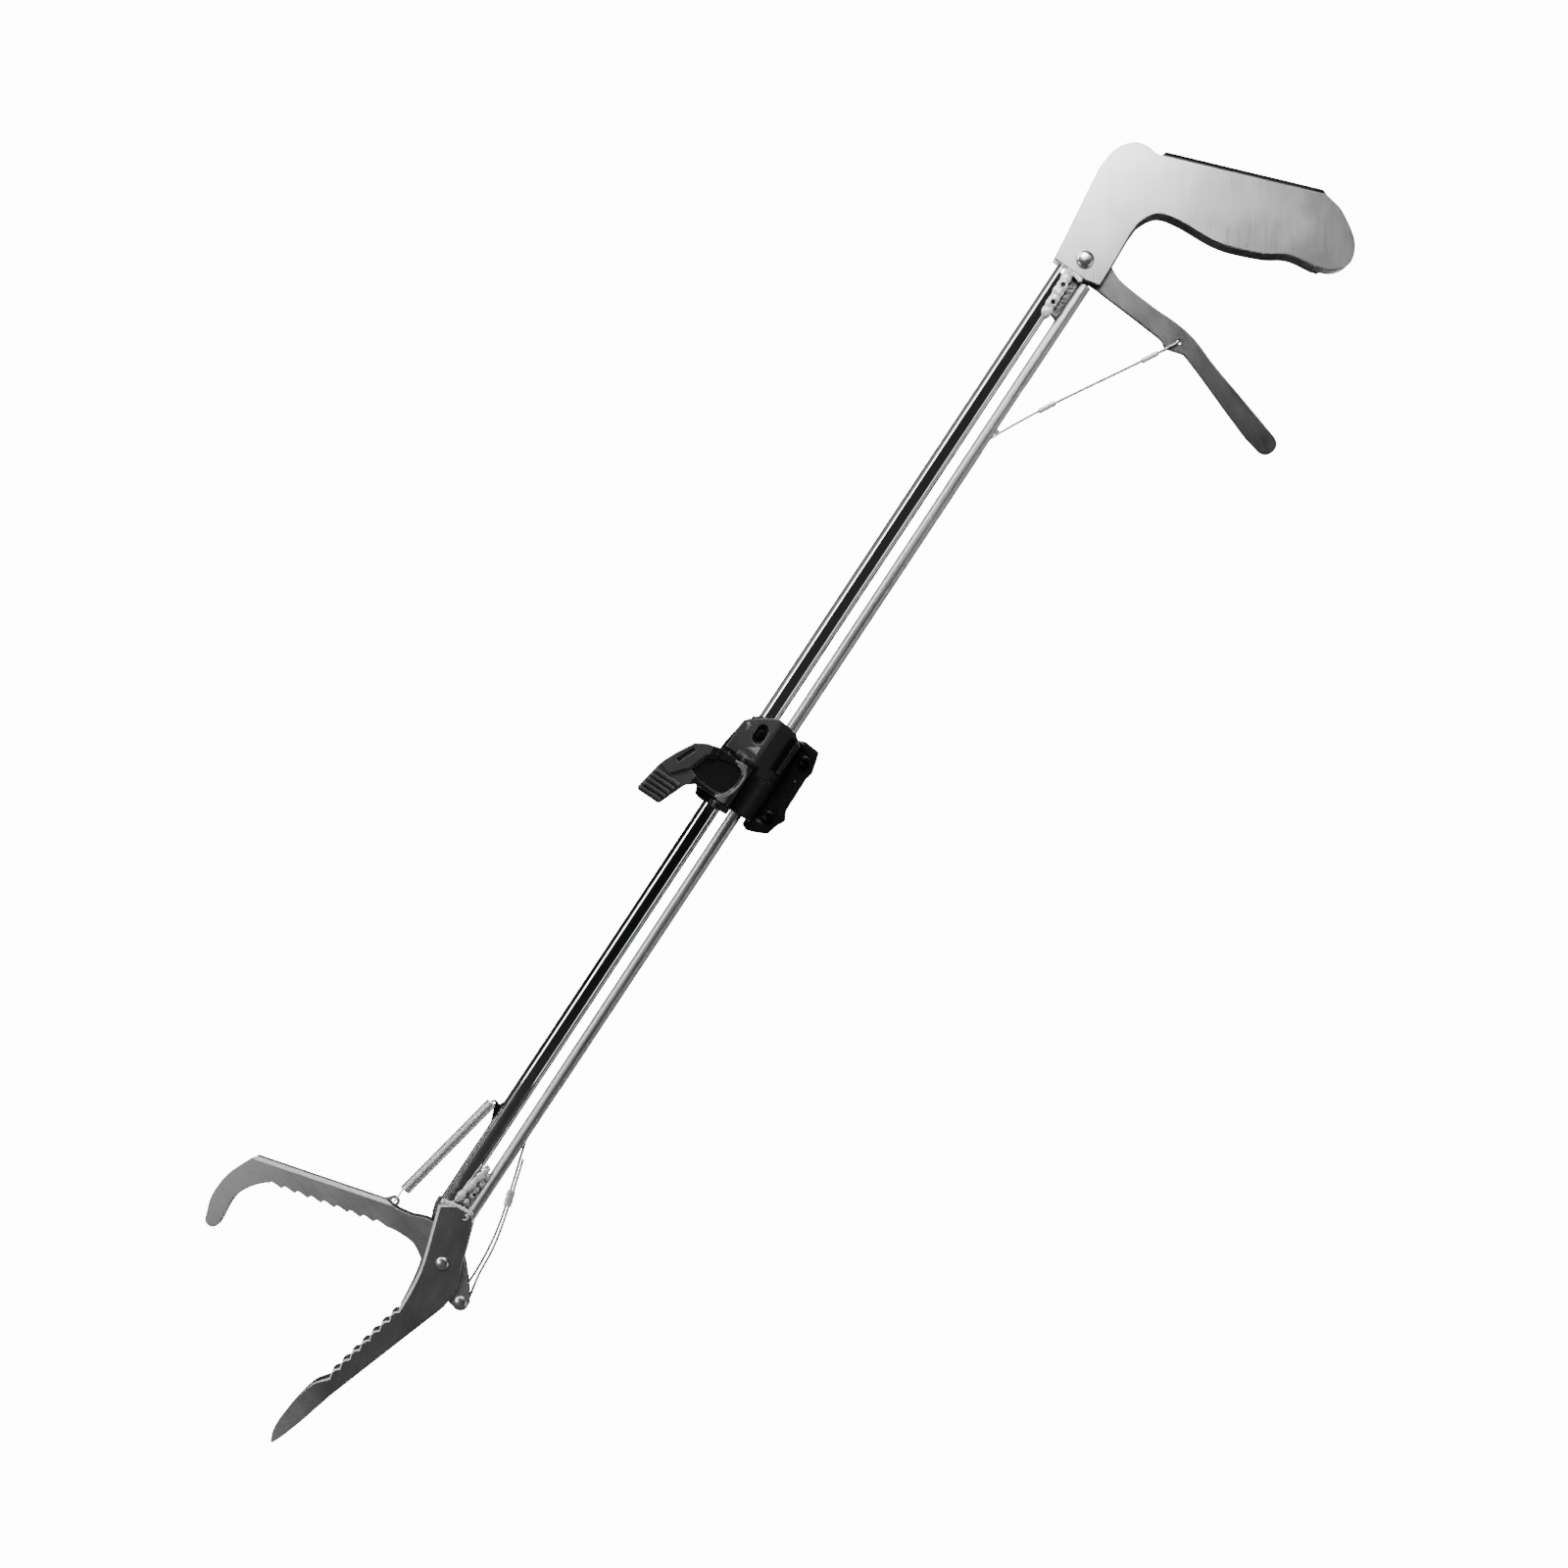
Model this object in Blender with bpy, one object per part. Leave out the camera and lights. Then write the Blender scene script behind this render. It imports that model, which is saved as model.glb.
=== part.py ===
"""Stainless pick-up tongs: squeeze trigger, pull cable, hooked jaw and a clip-on torch holder.

The tongs hang upright in the XZ plane, jaws down and handle up.  Outlines are written in
millimetres with X across the shaft and Z up from the leaf tip of the fixed jaw.  The whole
model hangs from one empty that moves the middle of the grip to the world origin.
"""
import math

import bmesh
import bpy
from mathutils import Matrix, Vector

MM = 0.001
GAP = 0.3

# Shaft: two parallel tubes, the pull cable runs in the thin one.
MAIN_RADIUS, MAIN_BORE = 4.8, 3.8
MAIN_BOTTOM, MAIN_TOP = 136.0, 702.5
CABLE_TUBE_X = 12.3
CABLE_TUBE_RADIUS, CABLE_TUBE_BORE = 3.2, 2.35
CABLE_TUBE_BOTTOM, CABLE_TUBE_TOP = 138.0, 697.6
SLOT_WIDTH = 2.2
UPPER_SLOT = (600.0, 640.0)
LOWER_SLOT = (180.0, 222.0)

# Folded sheet parts: outer half width in Y and sheet thickness.
HANDLE_HALF, HANDLE_SHEET = 6.7, 1.5
JAW_HALF, JAW_SHEET = 4.7, 1.2
TRIGGER_HALF = 2.0
LEAF_FLARE = 0.15

# Rivets along Y: shank radius, head radius and rise of the head.
TRIGGER_RIVET = (2.4, 4.6, 2.6)
JAW_RIVET = (2.0, 3.4, 1.7)
TAIL_RIVET = (1.7, 3.4, 1.7)

# Weld beads in the groove between the tubes.
BEAD_X, BEAD_Y, BEAD_RADIUS = 7.0, 3.4, 2.7
UPPER_WELD = (674.0, 698.0)
LOWER_WELD = (146.4, 166.0)

# Joint axes in the XZ plane.
TRIGGER_PIVOT = (5.1, 707.2)
TRIGGER_EYE = (66.5, 699.6)
JAW_PIVOT = (14.0, 118.2)
TAIL_PIVOT = (32.1, 106.7)
SPRING_TOP = (-8.0, 199.0)
SPRING_BOTTOM = (-23.0, 129.8)
GRIP_MIDDLE = (60.0, 776.0)

# Pull cable.
WIRE_RADIUS = 0.5
CORE_RADIUS = 0.75
EYE_RADIUS = 1.5
CABLE_TOP_END = (CABLE_TUBE_X, 602.6)
CABLE_LOW_END = (CABLE_TUBE_X, 201.0)
END_CLEARANCE = 2.5

# Return spring.
SPRING_RADIUS, SPRING_WIRE = 2.4, 0.4
HOOK_RADIUS = 2.0
LUG_HALF, LUG_HOLE_RADIUS = 0.7, 1.3

# Torch clamp: two shells round both tubes, a cam lever, and a torch ring on a swivel.
CLAMP_X = 5.35
CLAMP_LOW, CLAMP_HIGH = 384.0, 431.0
CLAMP_BORE, CLAMP_OUTER = 13.0, 17.5
FLANGE_DEPTH = 5.0
FLANGE_SCREWS = ((-14.8, 396.0), (26.5, 391.5), (26.5, 424.0))
SCREW_RADIUS = 1.5
ADJUSTER = (1.2, 422.9)
LEVER_PIVOT = (2.5, -23.4)
CAM_OFFSET, CAM_RADIUS = 0.8, 5.1
LEVER_LOW, LEVER_HIGH = 384.5, 406.5
PLUNGER_Z, PLUNGER_X, PLUNGER_RADIUS = 395.5, 0.5, 2.5
SWIVEL_Z = 407.5
RING_Y = 40.5
RING_BORE, RING_OUTER, RING_HALF_HEIGHT = 13.5, 16.5, 10.0
RING_SCREW_Y = 61.5
SWIVEL_RADIUS, THUMBSCREW_RADIUS = 2.5, 1.7

BODY_ORIGIN = {
    "frame": (0.0, 0.0, 0.0),
    "trigger": (TRIGGER_PIVOT[0], 0.0, TRIGGER_PIVOT[1]),
    "upper_link": (TRIGGER_EYE[0], 0.0, TRIGGER_EYE[1]),
    "pull_cable": (CABLE_TUBE_X, 0.0, 400.0),
    "moving_jaw": (JAW_PIVOT[0], 0.0, JAW_PIVOT[1]),
    "lower_link": (TAIL_PIVOT[0], 0.0, TAIL_PIVOT[1]),
    "spring_top": (SPRING_TOP[0], 0.0, SPRING_TOP[1]),
    "spring_foot": (SPRING_BOTTOM[0], 0.0, SPRING_BOTTOM[1]),
    "cam_lever": (LEVER_PIVOT[0], LEVER_PIVOT[1], PLUNGER_Z),
    "cam_plunger": (PLUNGER_X, -10.0, PLUNGER_Z),
    "torch_holder": (CLAMP_X, RING_Y, SWIVEL_Z),
    "torch_screw": (CLAMP_X, RING_SCREW_Y, SWIVEL_Z),
}


def clear_scene():
    for old in list(bpy.data.objects):
        bpy.data.objects.remove(old)


def make_bodies():
    """One empty for each moving group, on its joint axis, all under one root empty."""
    root = bpy.data.objects.new("tongs_root", None)
    bpy.context.collection.objects.link(root)
    root.location = (-GRIP_MIDDLE[0] * MM, 0.0, -GRIP_MIDDLE[1] * MM)
    bodies = {}
    for body_name, origin in BODY_ORIGIN.items():
        empty = bpy.data.objects.new("body_" + body_name, None)
        bpy.context.collection.objects.link(empty)
        empty.parent = root
        empty.location = Vector(origin) * MM
        bodies[body_name] = empty
    return bodies


def metal(name, colour, roughness, metallic=1.0):
    material = bpy.data.materials.new(name)
    material.use_nodes = True
    shader = material.node_tree.nodes["Principled BSDF"]
    shader.inputs["Base Color"].default_value = (*colour, 1.0)
    shader.inputs["Roughness"].default_value = roughness
    shader.inputs["Metallic"].default_value = metallic
    return material


def plastic(name, colour, roughness):
    return metal(name, colour, roughness, 0.0)


# ---------------------------------------------------------------- shape helpers

def to_object(name, data, body):
    """Wrap data drawn in tongs millimetres as an object standing on its body's empty."""
    origin = Vector(BODY_ORIGIN[body])
    data.transform(Matrix.Scale(MM, 4) @ Matrix.Translation(-origin))
    made = bpy.data.objects.new(name, data)
    bpy.context.collection.objects.link(made)
    made.parent = BODIES[body]
    return made


def mesh_object(name, shape, body, smooth=True):
    bmesh.ops.recalc_face_normals(shape, faces=shape.faces)
    mesh = bpy.data.meshes.new(name)
    shape.to_mesh(mesh)
    shape.free()
    if smooth:
        mesh.shade_smooth()
        mesh.set_sharp_from_angle(angle=math.radians(35))
    return to_object(name, mesh, body)


def prism(name, outline, low, high, body, plane="XZ"):
    """Extrude a 2-D outline: an XZ outline runs along Y, an XY outline runs along Z."""
    shape = bmesh.new()

    def corner(u, v, depth):
        return shape.verts.new((u, depth, v) if plane == "XZ" else (u, v, depth))

    near = [corner(u, v, low) for u, v in outline]
    far = [corner(u, v, high) for u, v in outline]
    shape.faces.new(near)
    shape.faces.new(far)
    for i in range(len(outline)):
        k = (i + 1) % len(outline)
        shape.faces.new((near[i], near[k], far[k], far[i]))
    return mesh_object(name, shape, body, smooth=False)


def turned(name, profile, centre, axis, body, segments=24, hollow=False):
    """Turn a (radius, height) profile round an axis through centre; hollow closes it as a ring."""
    shape = bmesh.new()
    turn = Vector((0, 0, 1)).rotation_difference(Vector(axis)).to_matrix()
    rings = []
    for radius, height in profile:
        steps = 1 if radius == 0 else segments
        ring = []
        for i in range(steps):
            angle = 2 * math.pi * i / segments
            local = Vector((radius * math.cos(angle), radius * math.sin(angle), height))
            ring.append(shape.verts.new(turn @ local + Vector(centre)))
        rings.append(ring)
    pairs = list(zip(rings, rings[1:]))
    if hollow:
        pairs.append((rings[-1], rings[0]))
    for lower, upper in pairs:
        for i in range(segments):
            k = (i + 1) % segments
            corners = [lower[i % len(lower)], lower[k % len(lower)],
                       upper[k % len(upper)], upper[i % len(upper)]]
            unique = list(dict.fromkeys(corners))
            shape.faces.new(unique)
    return mesh_object(name, shape, body)


def rod(name, start, end, radius, body, segments=24):
    length = (Vector(end) - Vector(start)).length
    profile = [(0, 0), (radius, 0), (radius, length), (0, length)]
    return turned(name, profile, start, Vector(end) - Vector(start), body, segments)


def cross_rod(name, centre, half, radius, body, segments=24):
    """A rod along Y through an XZ centre, from -half to half."""
    x, z = centre
    return rod(name, (x, -half, z), (x, half, z), radius, body, segments)


def pipe(name, start, end, outer, bore, body, segments=24):
    length = (Vector(end) - Vector(start)).length
    profile = [(bore, 0), (outer, 0), (outer, length), (bore, length)]
    return turned(name, profile, start, Vector(end) - Vector(start), body, segments, hollow=True)


def wire(name, points, radius, body):
    curve = bpy.data.curves.new(name, "CURVE")
    curve.dimensions = "3D"
    curve.bevel_depth = radius * MM
    curve.bevel_resolution = 2
    curve.use_fill_caps = True
    spline = curve.splines.new("POLY")
    spline.points.add(len(points) - 1)
    for target, point in zip(spline.points, points):
        target.co = (*point, 1.0)
    made = to_object(name, curve, body)
    for point in spline.points:
        point.radius = 1.0
    return made


def boolean(target, tool, operation):
    """Join or cut with a hidden tool object that stays a modifier operand."""
    modifier = target.modifiers.new(operation.lower() + "_" + tool.name, "BOOLEAN")
    modifier.operation = operation
    modifier.solver = "EXACT"
    modifier.object = tool
    tool.hide_render = True
    tool.display_type = "WIRE"
    return target


def join(target, *tools):
    for tool in tools:
        boolean(target, tool, "UNION")
    return target


def cut(target, *tools):
    for tool in tools:
        boolean(target, tool, "DIFFERENCE")
    return target


def paint(part, material):
    part.data.materials.append(material)
    return part


def arc(centre, radius, start, stop, steps):
    """Points on an arc, angles in degrees, both ends included."""
    points = []
    for i in range(steps + 1):
        angle = math.radians(start + (stop - start) * i / steps)
        points.append((centre[0] + radius * math.cos(angle), centre[1] + radius * math.sin(angle)))
    return points


def smooth_run(points, steps=3):
    """Catmull-Rom curve through the points; works for 2-D and 3-D points."""
    knots = [Vector(p) for p in points]
    knots = [2 * knots[0] - knots[1]] + knots + [2 * knots[-1] - knots[-2]]
    result = []
    for a, b, c, d in zip(knots, knots[1:], knots[2:], knots[3:]):
        for i in range(steps):
            t = i / steps
            result.append(tuple(0.5 * (2 * b + (c - a) * t + (2 * a - 5 * b + 4 * c - d) * t ** 2
                                       + (3 * b - a - 3 * c + d) * t ** 3)))
    result.append(tuple(knots[-2]))
    return result


def toothed_edge(start, end, count, depth, lean):
    """Saw teeth from start to end; lean is where in each pitch the valley sits."""
    along = Vector(end) - Vector(start)
    inward = Vector((-along.y, along.x)).normalized() * depth
    points = []
    for i in range(count):
        points.append(tuple(Vector(start) + along * (i / count)))
        points.append(tuple(Vector(start) + along * ((i + lean * 0.6) / count) + inward))
        points.append(tuple(Vector(start) + along * ((i + lean) / count) + inward))
    points.append(tuple(end))
    return points


def offset_line(start, end, distance):
    """The line from start to end moved to its right by distance."""
    along = (Vector(end) - Vector(start)).normalized()
    shift = Vector((along.y, -along.x)) * distance
    return tuple(Vector(start) + shift), tuple(Vector(end) + shift)


def rivet(name, pivot, size, half, body):
    """A through rivet along Y with a domed head on each side, GAP clear of the plates."""
    shank, head, rise = size
    seat = half + GAP
    dome = [(head * math.cos(a), rise * math.sin(a))
            for a in (math.radians(15 * i) for i in range(6))]
    side = [(radius, seat + height) for radius, height in dome] + [(0, seat + rise)]
    profile = [(r, -h) for r, h in reversed(side)] + [(shank, -seat), (shank, seat)] + side
    return paint(turned(name, profile, (pivot[0], 0, pivot[1]), (0, 1, 0), body), POLISHED)


# ---------------------------------------------------------------- shaft

def make_shaft():
    main = pipe("main_tube", (0, 0, MAIN_BOTTOM), (0, 0, MAIN_TOP), MAIN_RADIUS, MAIN_BORE, "frame")
    fork = prism("main_tube_fork_cutter", [(-9, 695.5), (9, 695.5), (9, 710), (-9, 710)],
                 -2.6, 2.6, "frame")
    paint(cut(main, fork), POLISHED)

    x = CABLE_TUBE_X
    thin = pipe("cable_tube", (x, 0, CABLE_TUBE_BOTTOM), (x, 0, CABLE_TUBE_TOP),
                CABLE_TUBE_RADIUS, CABLE_TUBE_BORE, "frame", segments=20)
    for label, (low, high) in (("upper", UPPER_SLOT), ("lower", LOWER_SLOT)):
        outline = [(x + 0.5, low), (x + 5, low), (x + 5, high), (x + 0.5, high)]
        cut(thin, prism(label + "_slot_cutter", outline, -SLOT_WIDTH / 2, SLOT_WIDTH / 2, "frame"))
    paint(thin, SATIN)


def make_welds():
    """Four weld beads in the grooves between the tubes, at the handle and at the jaw."""
    steps = 12
    for place, (low, high) in (("upper", UPPER_WELD), ("lower", LOWER_WELD)):
        for side, sign in (("front", -1), ("rear", 1)):
            profile = [(0, 0)]
            for i in range(steps + 1):
                t = i / steps
                swell = 0.86 + 0.14 * math.cos(6 * math.pi * t)
                taper = min(1.0, 0.55 + 3 * min(t, 1 - t))
                profile.append((BEAD_RADIUS * swell * taper, (high - low) * t))
            profile.append((0, high - low))
            bead = turned(place + "_weld_" + side, profile, (BEAD_X, sign * BEAD_Y, low),
                          (0, 0, 1), "frame", 12)
            paint(bead, WELD)


# ---------------------------------------------------------------- handle and trigger

def make_handle():
    fold_start, fold_end = (9.5, 773.4), (83.2, 800.7)
    crown = smooth_run([(-12.9, 742.3), (-13.4, 752.0), (-11.6, 761.7), (-6.2, 768.7),
                        (0.2, 770.6), (5.4, 770.0), (8.8, 770.9)], 2)
    butt = smooth_run([(86.2, 799.8), (97.9, 797.0), (110.5, 788.5), (115.0, 778.6),
                       (110.2, 770.8), (101.0, 767.2)], 3)
    grip_under = smooth_run([(101.0, 767.2), (88.2, 765.1), (77.0, 758.6), (56.2, 751.0),
                             (33.6, 749.3), (22.6, 746.4), (17.3, 737.9), (16.5, 730.0)], 3)
    outline = ([(-7.7, 699.3)] + crown + [fold_start, fold_end] + butt + grip_under[1:]
               + [(18.1, 700.7), (11.4, 699.0)])
    shell = prism("handle_shell", outline, -HANDLE_HALF, HANDLE_HALF, "frame")
    inner = HANDLE_HALF - HANDLE_SHEET
    web_low, web_high = offset_line(fold_start, fold_end, HANDLE_SHEET)
    room = [(-30, 690), (130, 690), (130, 815), (fold_end[0], 815), web_high, web_low,
            (fold_start[0], 815), (-30, 815)]
    cut(shell, prism("handle_room_cutter", room, -inner, inner, "frame"))
    hole_radius = TRIGGER_RIVET[0] + GAP
    cut(shell, cross_rod("trigger_rivet_hole", TRIGGER_PIVOT, 9, hole_radius, "frame"))
    paint(shell, BRUSHED)

    rivet("trigger_rivet", TRIGGER_PIVOT, TRIGGER_RIVET, HANDLE_HALF, "frame")
    x, z = TRIGGER_PIVOT
    for side, sign in (("front", -1), ("rear", 1)):
        start = (x, sign * (TRIGGER_HALF + GAP), z)
        end = (x, sign * (inner - GAP), z)
        paint(pipe("trigger_bush_" + side, start, end, 4.0, hole_radius, "frame", 20), BRASS)


def make_trigger():
    upper = smooth_run([(14.5, 713.5), (19.0, 711.2), (27.0, 708.1), (46.9, 706.4), (60.0, 705.9),
                        (72.0, 703.8), (86.5, 698.6), (104.6, 693.2), (121.4, 688.2), (130.4, 685.6)], 2)
    tip = arc((129.8, 681.0), 4.7, 60, -100, 7)
    lower = smooth_run([(119.8, 678.4), (103.3, 684.6), (83.1, 692.2), (71.9, 696.0)], 2)
    ear = smooth_run([(71.9, 696.0), (67.0, 694.6), (62.6, 693.6), (59.4, 695.4), (56.7, 696.0)], 2)
    hub = arc(TRIGGER_PIVOT, 8.8, 270, 60, 12)
    outline = upper + tip + lower[:-1] + ear + [(41.5, 697.0), (17.2, 698.6)] + hub
    plate = prism("trigger", outline, -TRIGGER_HALF, TRIGGER_HALF, "trigger")
    hole = cross_rod("trigger_hub_hole", TRIGGER_PIVOT, 5, TRIGGER_RIVET[0] + GAP, "trigger")
    eye = cross_rod("trigger_eye_hole", TRIGGER_EYE, 5, EYE_RADIUS, "trigger", 12)
    paint(cut(plate, hole, eye), BRUSHED)


# ---------------------------------------------------------------- pull cable

def ferrule(name, centre, direction, length, across, deep, body, strand_in_plane):
    """A crimped oval sleeve round two strands that lie side by side, in plane or across it."""
    along = Vector(direction).normalized()
    side = Vector((along.z, 0, -along.x))
    across_y = Vector((0, 1, 0))
    wide, slim = (side, across_y) if strand_in_plane else (across_y, side)

    def oval(label, half_wide, half_slim, half_length):
        shape = bmesh.new()
        ends = []
        for offset in (-half_length, half_length):
            ring = []
            for i in range(16):
                angle = 2 * math.pi * i / 16
                point = (Vector(centre) + along * offset + wide * (half_wide * math.cos(angle))
                         + slim * (half_slim * math.sin(angle)))
                ring.append(shape.verts.new(point))
            shape.faces.new(ring)
            ends.append(ring)
        for i in range(16):
            k = (i + 1) % 16
            shape.faces.new((ends[0][i], ends[0][k], ends[1][k], ends[1][i]))
        return mesh_object(label, shape, body)

    sleeve = oval(name, across, deep, length / 2)
    return paint(cut(sleeve, oval(name + "_bore", across - 0.45, deep - 0.3, length)), CRIMP)


def make_upper_link():
    """Wire from the slot to the trigger's eye, looped through it and crimped twice."""
    top, low = Vector((*TRIGGER_EYE, 0)), Vector((*CABLE_TOP_END, 0))
    along = (top - low).normalized()
    strand, spread = WIRE_RADIUS + 0.1, TRIGGER_HALF + GAP + WIRE_RADIUS + 0.3

    def at(distance_from_eye, y):
        point = top - along * distance_from_eye
        return (point.x, y, point.y)

    length = (top - low).length
    run_up = [at(length, -strand), at(60, -strand), at(20, -strand), at(11.6, -strand)]
    loop = [at(9.6, -1.6), at(7.6, -spread), at(2.4, -spread), at(0.6, -spread * 0.8), at(0.0, -1.2),
            at(0.0, 1.2), at(0.6, spread * 0.8), at(2.4, spread), at(7.6, spread), at(9.6, 1.6)]
    run_back = [at(11.6, strand), at(20, strand), at(78, strand)]
    paint(wire("upper_cable_loop", run_up + loop + run_back, WIRE_RADIUS, "upper_link"), STEEL_WIRE)
    direction = (along.x, 0, along.y)
    ferrule("eye_ferrule", at(16.0, 0), direction, 8.6, 1.8, 1.1, "upper_link", False)
    ferrule("slot_ferrule", at(72.7, 0), direction, 8.6, 1.8, 1.1, "upper_link", False)


def make_lower_link():
    """Doubled wire from the lower slot to the jaw's tail rivet, crimped once."""
    main_side = smooth_run([(12.3, 201.0), (13.4, 196.5), (16.4, 186.0), (20.4, 173.5), (23.6, 163.4),
                            (27.4, 149.0), (29.6, 136.0), (30.3, 122.0), (29.5, 111.0)], 4)
    loop = arc(TAIL_PIVOT, 2.9, 190, 350, 8)
    free_side = smooth_run([(34.4, 111.0), (32.2, 122.0), (31.2, 136.0), (28.8, 149.2), (24.9, 163.8),
                            (22.2, 172.6), (19.0, 182.5)], 4)
    route = [(x, 0, z) for x, z in main_side + loop + free_side]
    paint(wire("lower_cable_loop", route, WIRE_RADIUS, "lower_link"), STEEL_WIRE)
    ferrule("tail_ferrule", (24.25, 0, 163.6), (3.4, 0, -11.0), 8.0, 2.0, 1.1, "lower_link", True)


def make_pull_cable():
    """The run of the pull cable that slides inside the thin tube, between the two slots."""
    x = CABLE_TUBE_X
    low, high = CABLE_LOW_END[1] + END_CLEARANCE, CABLE_TOP_END[1] - END_CLEARANCE
    paint(rod("pull_cable", (x, 0, low), (x, 0, high), CORE_RADIUS, "pull_cable", 10), STEEL_WIRE)


# ---------------------------------------------------------------- jaws

def make_fixed_jaw():
    fold_low, fold_high = (4.0, 33.7), (25.2, 96.2)
    left = smooth_run([(-2.1, 141.2), (1.8, 129.2), (5.2, 118.7), (7.9, 108.4), (9.3, 97.0), (9.7, 88.0)], 2)
    teeth = toothed_edge((9.7, 86.5), (-0.6, 40.2), 7, -1.5, 0.62)
    leaf = smooth_run([(-1.2, 39.4), (-6.2, 33.3), (-9.3, 24.0), (-10.7, 12.9), (-10.3, 5.2), (-8.2, 0.4)], 3)
    outer = [(-7.0, 0.0), (-4.4, 6.0), (-0.8, 17.2), (1.3, 25.5), fold_low, fold_high]
    right = smooth_run([(26.6, 102.0), (27.0, 109.0), (25.2, 116.6), (22.2, 123.4), (19.2, 132.0)], 2)
    outline = left + teeth + leaf + outer + right + [(16.0, 141.9), (13.5, 145.7), (4.8, 145.8)]
    block = prism("fixed_jaw_block", outline, -HANDLE_HALF, HANDLE_HALF, "frame")
    inner = HANDLE_HALF - HANDLE_SHEET
    web_low, web_high = offset_line(fold_low, fold_high, -HANDLE_SHEET)
    room = [(-30, -10), (60, -10), (60, fold_low[1]), web_low, web_high, (60, fold_high[1]),
            (60, 160), (-30, 160)]
    cut(block, prism("fixed_jaw_room_cutter", room, -inner, inner, "frame"))
    cut(block, cross_rod("jaw_rivet_hole", JAW_PIVOT, 9, JAW_RIVET[0] + GAP, "frame"))
    paint(flare_tip(block, "fixed_jaw"), DARK_SATIN)
    rivet("jaw_rivet", JAW_PIVOT, JAW_RIVET, HANDLE_HALF, "frame")


def flare_tip(block, name):
    """Bend the two leaf-shaped ends of the channel outward along a slanting bend line."""
    bpy.context.view_layer.update()
    solid = bpy.data.meshes.new_from_object(block.evaluated_get(bpy.context.evaluated_depsgraph_get()))
    bend_point = Vector((-1.2, 0, 33.0)) * MM
    bend_normal = Vector((-0.55, 0, -1.0)).normalized()
    shape = bmesh.new()
    shape.from_mesh(solid)
    geometry = shape.verts[:] + shape.edges[:] + shape.faces[:]
    bmesh.ops.bisect_plane(shape, geom=geometry, plane_co=bend_point, plane_no=bend_normal)
    for vertex in shape.verts:
        beyond = (vertex.co - bend_point).dot(bend_normal)
        if beyond > 0:
            vertex.co.y += math.copysign(LEAF_FLARE * beyond, vertex.co.y)
    shape.to_mesh(solid)
    shape.free()
    for modifier in block.modifiers:
        bpy.data.objects.remove(modifier.object)
    bpy.data.objects.remove(block)
    made = bpy.data.objects.new(name, solid)
    bpy.context.collection.objects.link(made)
    made.parent = BODIES["frame"]
    return made


def make_moving_jaw():
    fold_start, fold_end = (-91.7, 111.6), (-26.5, 128.75)
    hook_outer = smooth_run([(-94.0, 107.7), (-99.0, 96.3), (-99.9, 83.5), (-96.8, 73.3)], 3)
    hook_tip = arc((-92.8, 73.6), 3.7, 200, 350, 5)
    hook_inner = smooth_run([(-89.6, 78.0), (-89.9, 88.0), (-86.0, 97.2), (-80.2, 103.6)], 3)
    teeth = toothed_edge((-79.4, 103.9), (-19.0, 118.5), 9, 1.4, 0.3)
    belly = smooth_run([(-12.0, 118.9), (-3.9, 118.3), (3.0, 114.6), (9.5, 110.0), (18.0, 106.9),
                        (26.4, 103.9)], 2)
    ear = arc(TAIL_PIVOT, 4.1, 240, 385, 8)
    back = smooth_run([(30.9, 115.4), (27.4, 119.6), (21.0, 126.2), (13.0, 130.4), (4.0, 132.8),
                       (-4.9, 132.2), (-12.4, 129.4), (-18.0, 128.3)], 2)
    outline = [fold_start] + hook_outer + hook_tip + hook_inner + teeth + belly + ear + back + [fold_end]
    jaw = prism("moving_jaw", outline, -JAW_HALF, JAW_HALF, "moving_jaw")
    inner = JAW_HALF - JAW_SHEET
    web_low, web_high = offset_line(fold_start, fold_end, JAW_SHEET)
    room = [(-120, 60), (60, 60), (60, 150), (fold_end[0], 150), web_high, web_low, (-96, 112), (-120, 112)]
    cut(jaw, prism("moving_jaw_room_cutter", room, -inner, inner, "moving_jaw"))
    cut(jaw, cross_rod("jaw_hub_hole", JAW_PIVOT, 9, JAW_RIVET[0] + GAP, "moving_jaw"),
        cross_rod("tail_rivet_hole", TAIL_PIVOT, 9, TAIL_RIVET[0] + GAP, "moving_jaw"))
    ear_outline = [(-29.5, 126.9), (-25.0, 126.2), (-21.0, 127.0)] + arc(SPRING_BOTTOM, 2.9, -30, 150, 8)
    join(jaw, prism("spring_ear", ear_outline, -LUG_HALF, LUG_HALF, "moving_jaw"))
    cut(jaw, cross_rod("spring_ear_hole", SPRING_BOTTOM, 3, LUG_HOLE_RADIUS, "moving_jaw", 12))
    paint(jaw, SATIN)
    rivet("tail_rivet", TAIL_PIVOT, TAIL_RIVET, JAW_HALF, "moving_jaw")


# ---------------------------------------------------------------- return spring

def hook_ring(name, pivot, toward, body):
    """A wire ring through the hole at pivot, standing in the plane of the spring's axis and Y."""
    centre = Vector((pivot[0], 0, pivot[1])) + toward * HOOK_RADIUS
    ring_axis = toward.cross(Vector((0, 1, 0)))
    steps, sides = 18, 8
    shape = bmesh.new()
    rings = []
    for i in range(steps):
        angle = 2 * math.pi * i / steps
        outward = toward * math.cos(angle) + Vector((0, 1, 0)) * math.sin(angle)
        ring = []
        for k in range(sides):
            turn = 2 * math.pi * k / sides
            offset = outward * math.cos(turn) + ring_axis * math.sin(turn)
            ring.append(shape.verts.new(centre + outward * HOOK_RADIUS + offset * SPRING_WIRE))
        rings.append(ring)
    for ring, following in zip(rings, rings[1:] + rings[:1]):
        for k in range(sides):
            n = (k + 1) % sides
            shape.faces.new((ring[k], ring[n], following[n], following[k]))
    return mesh_object(name, shape, body)


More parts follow.
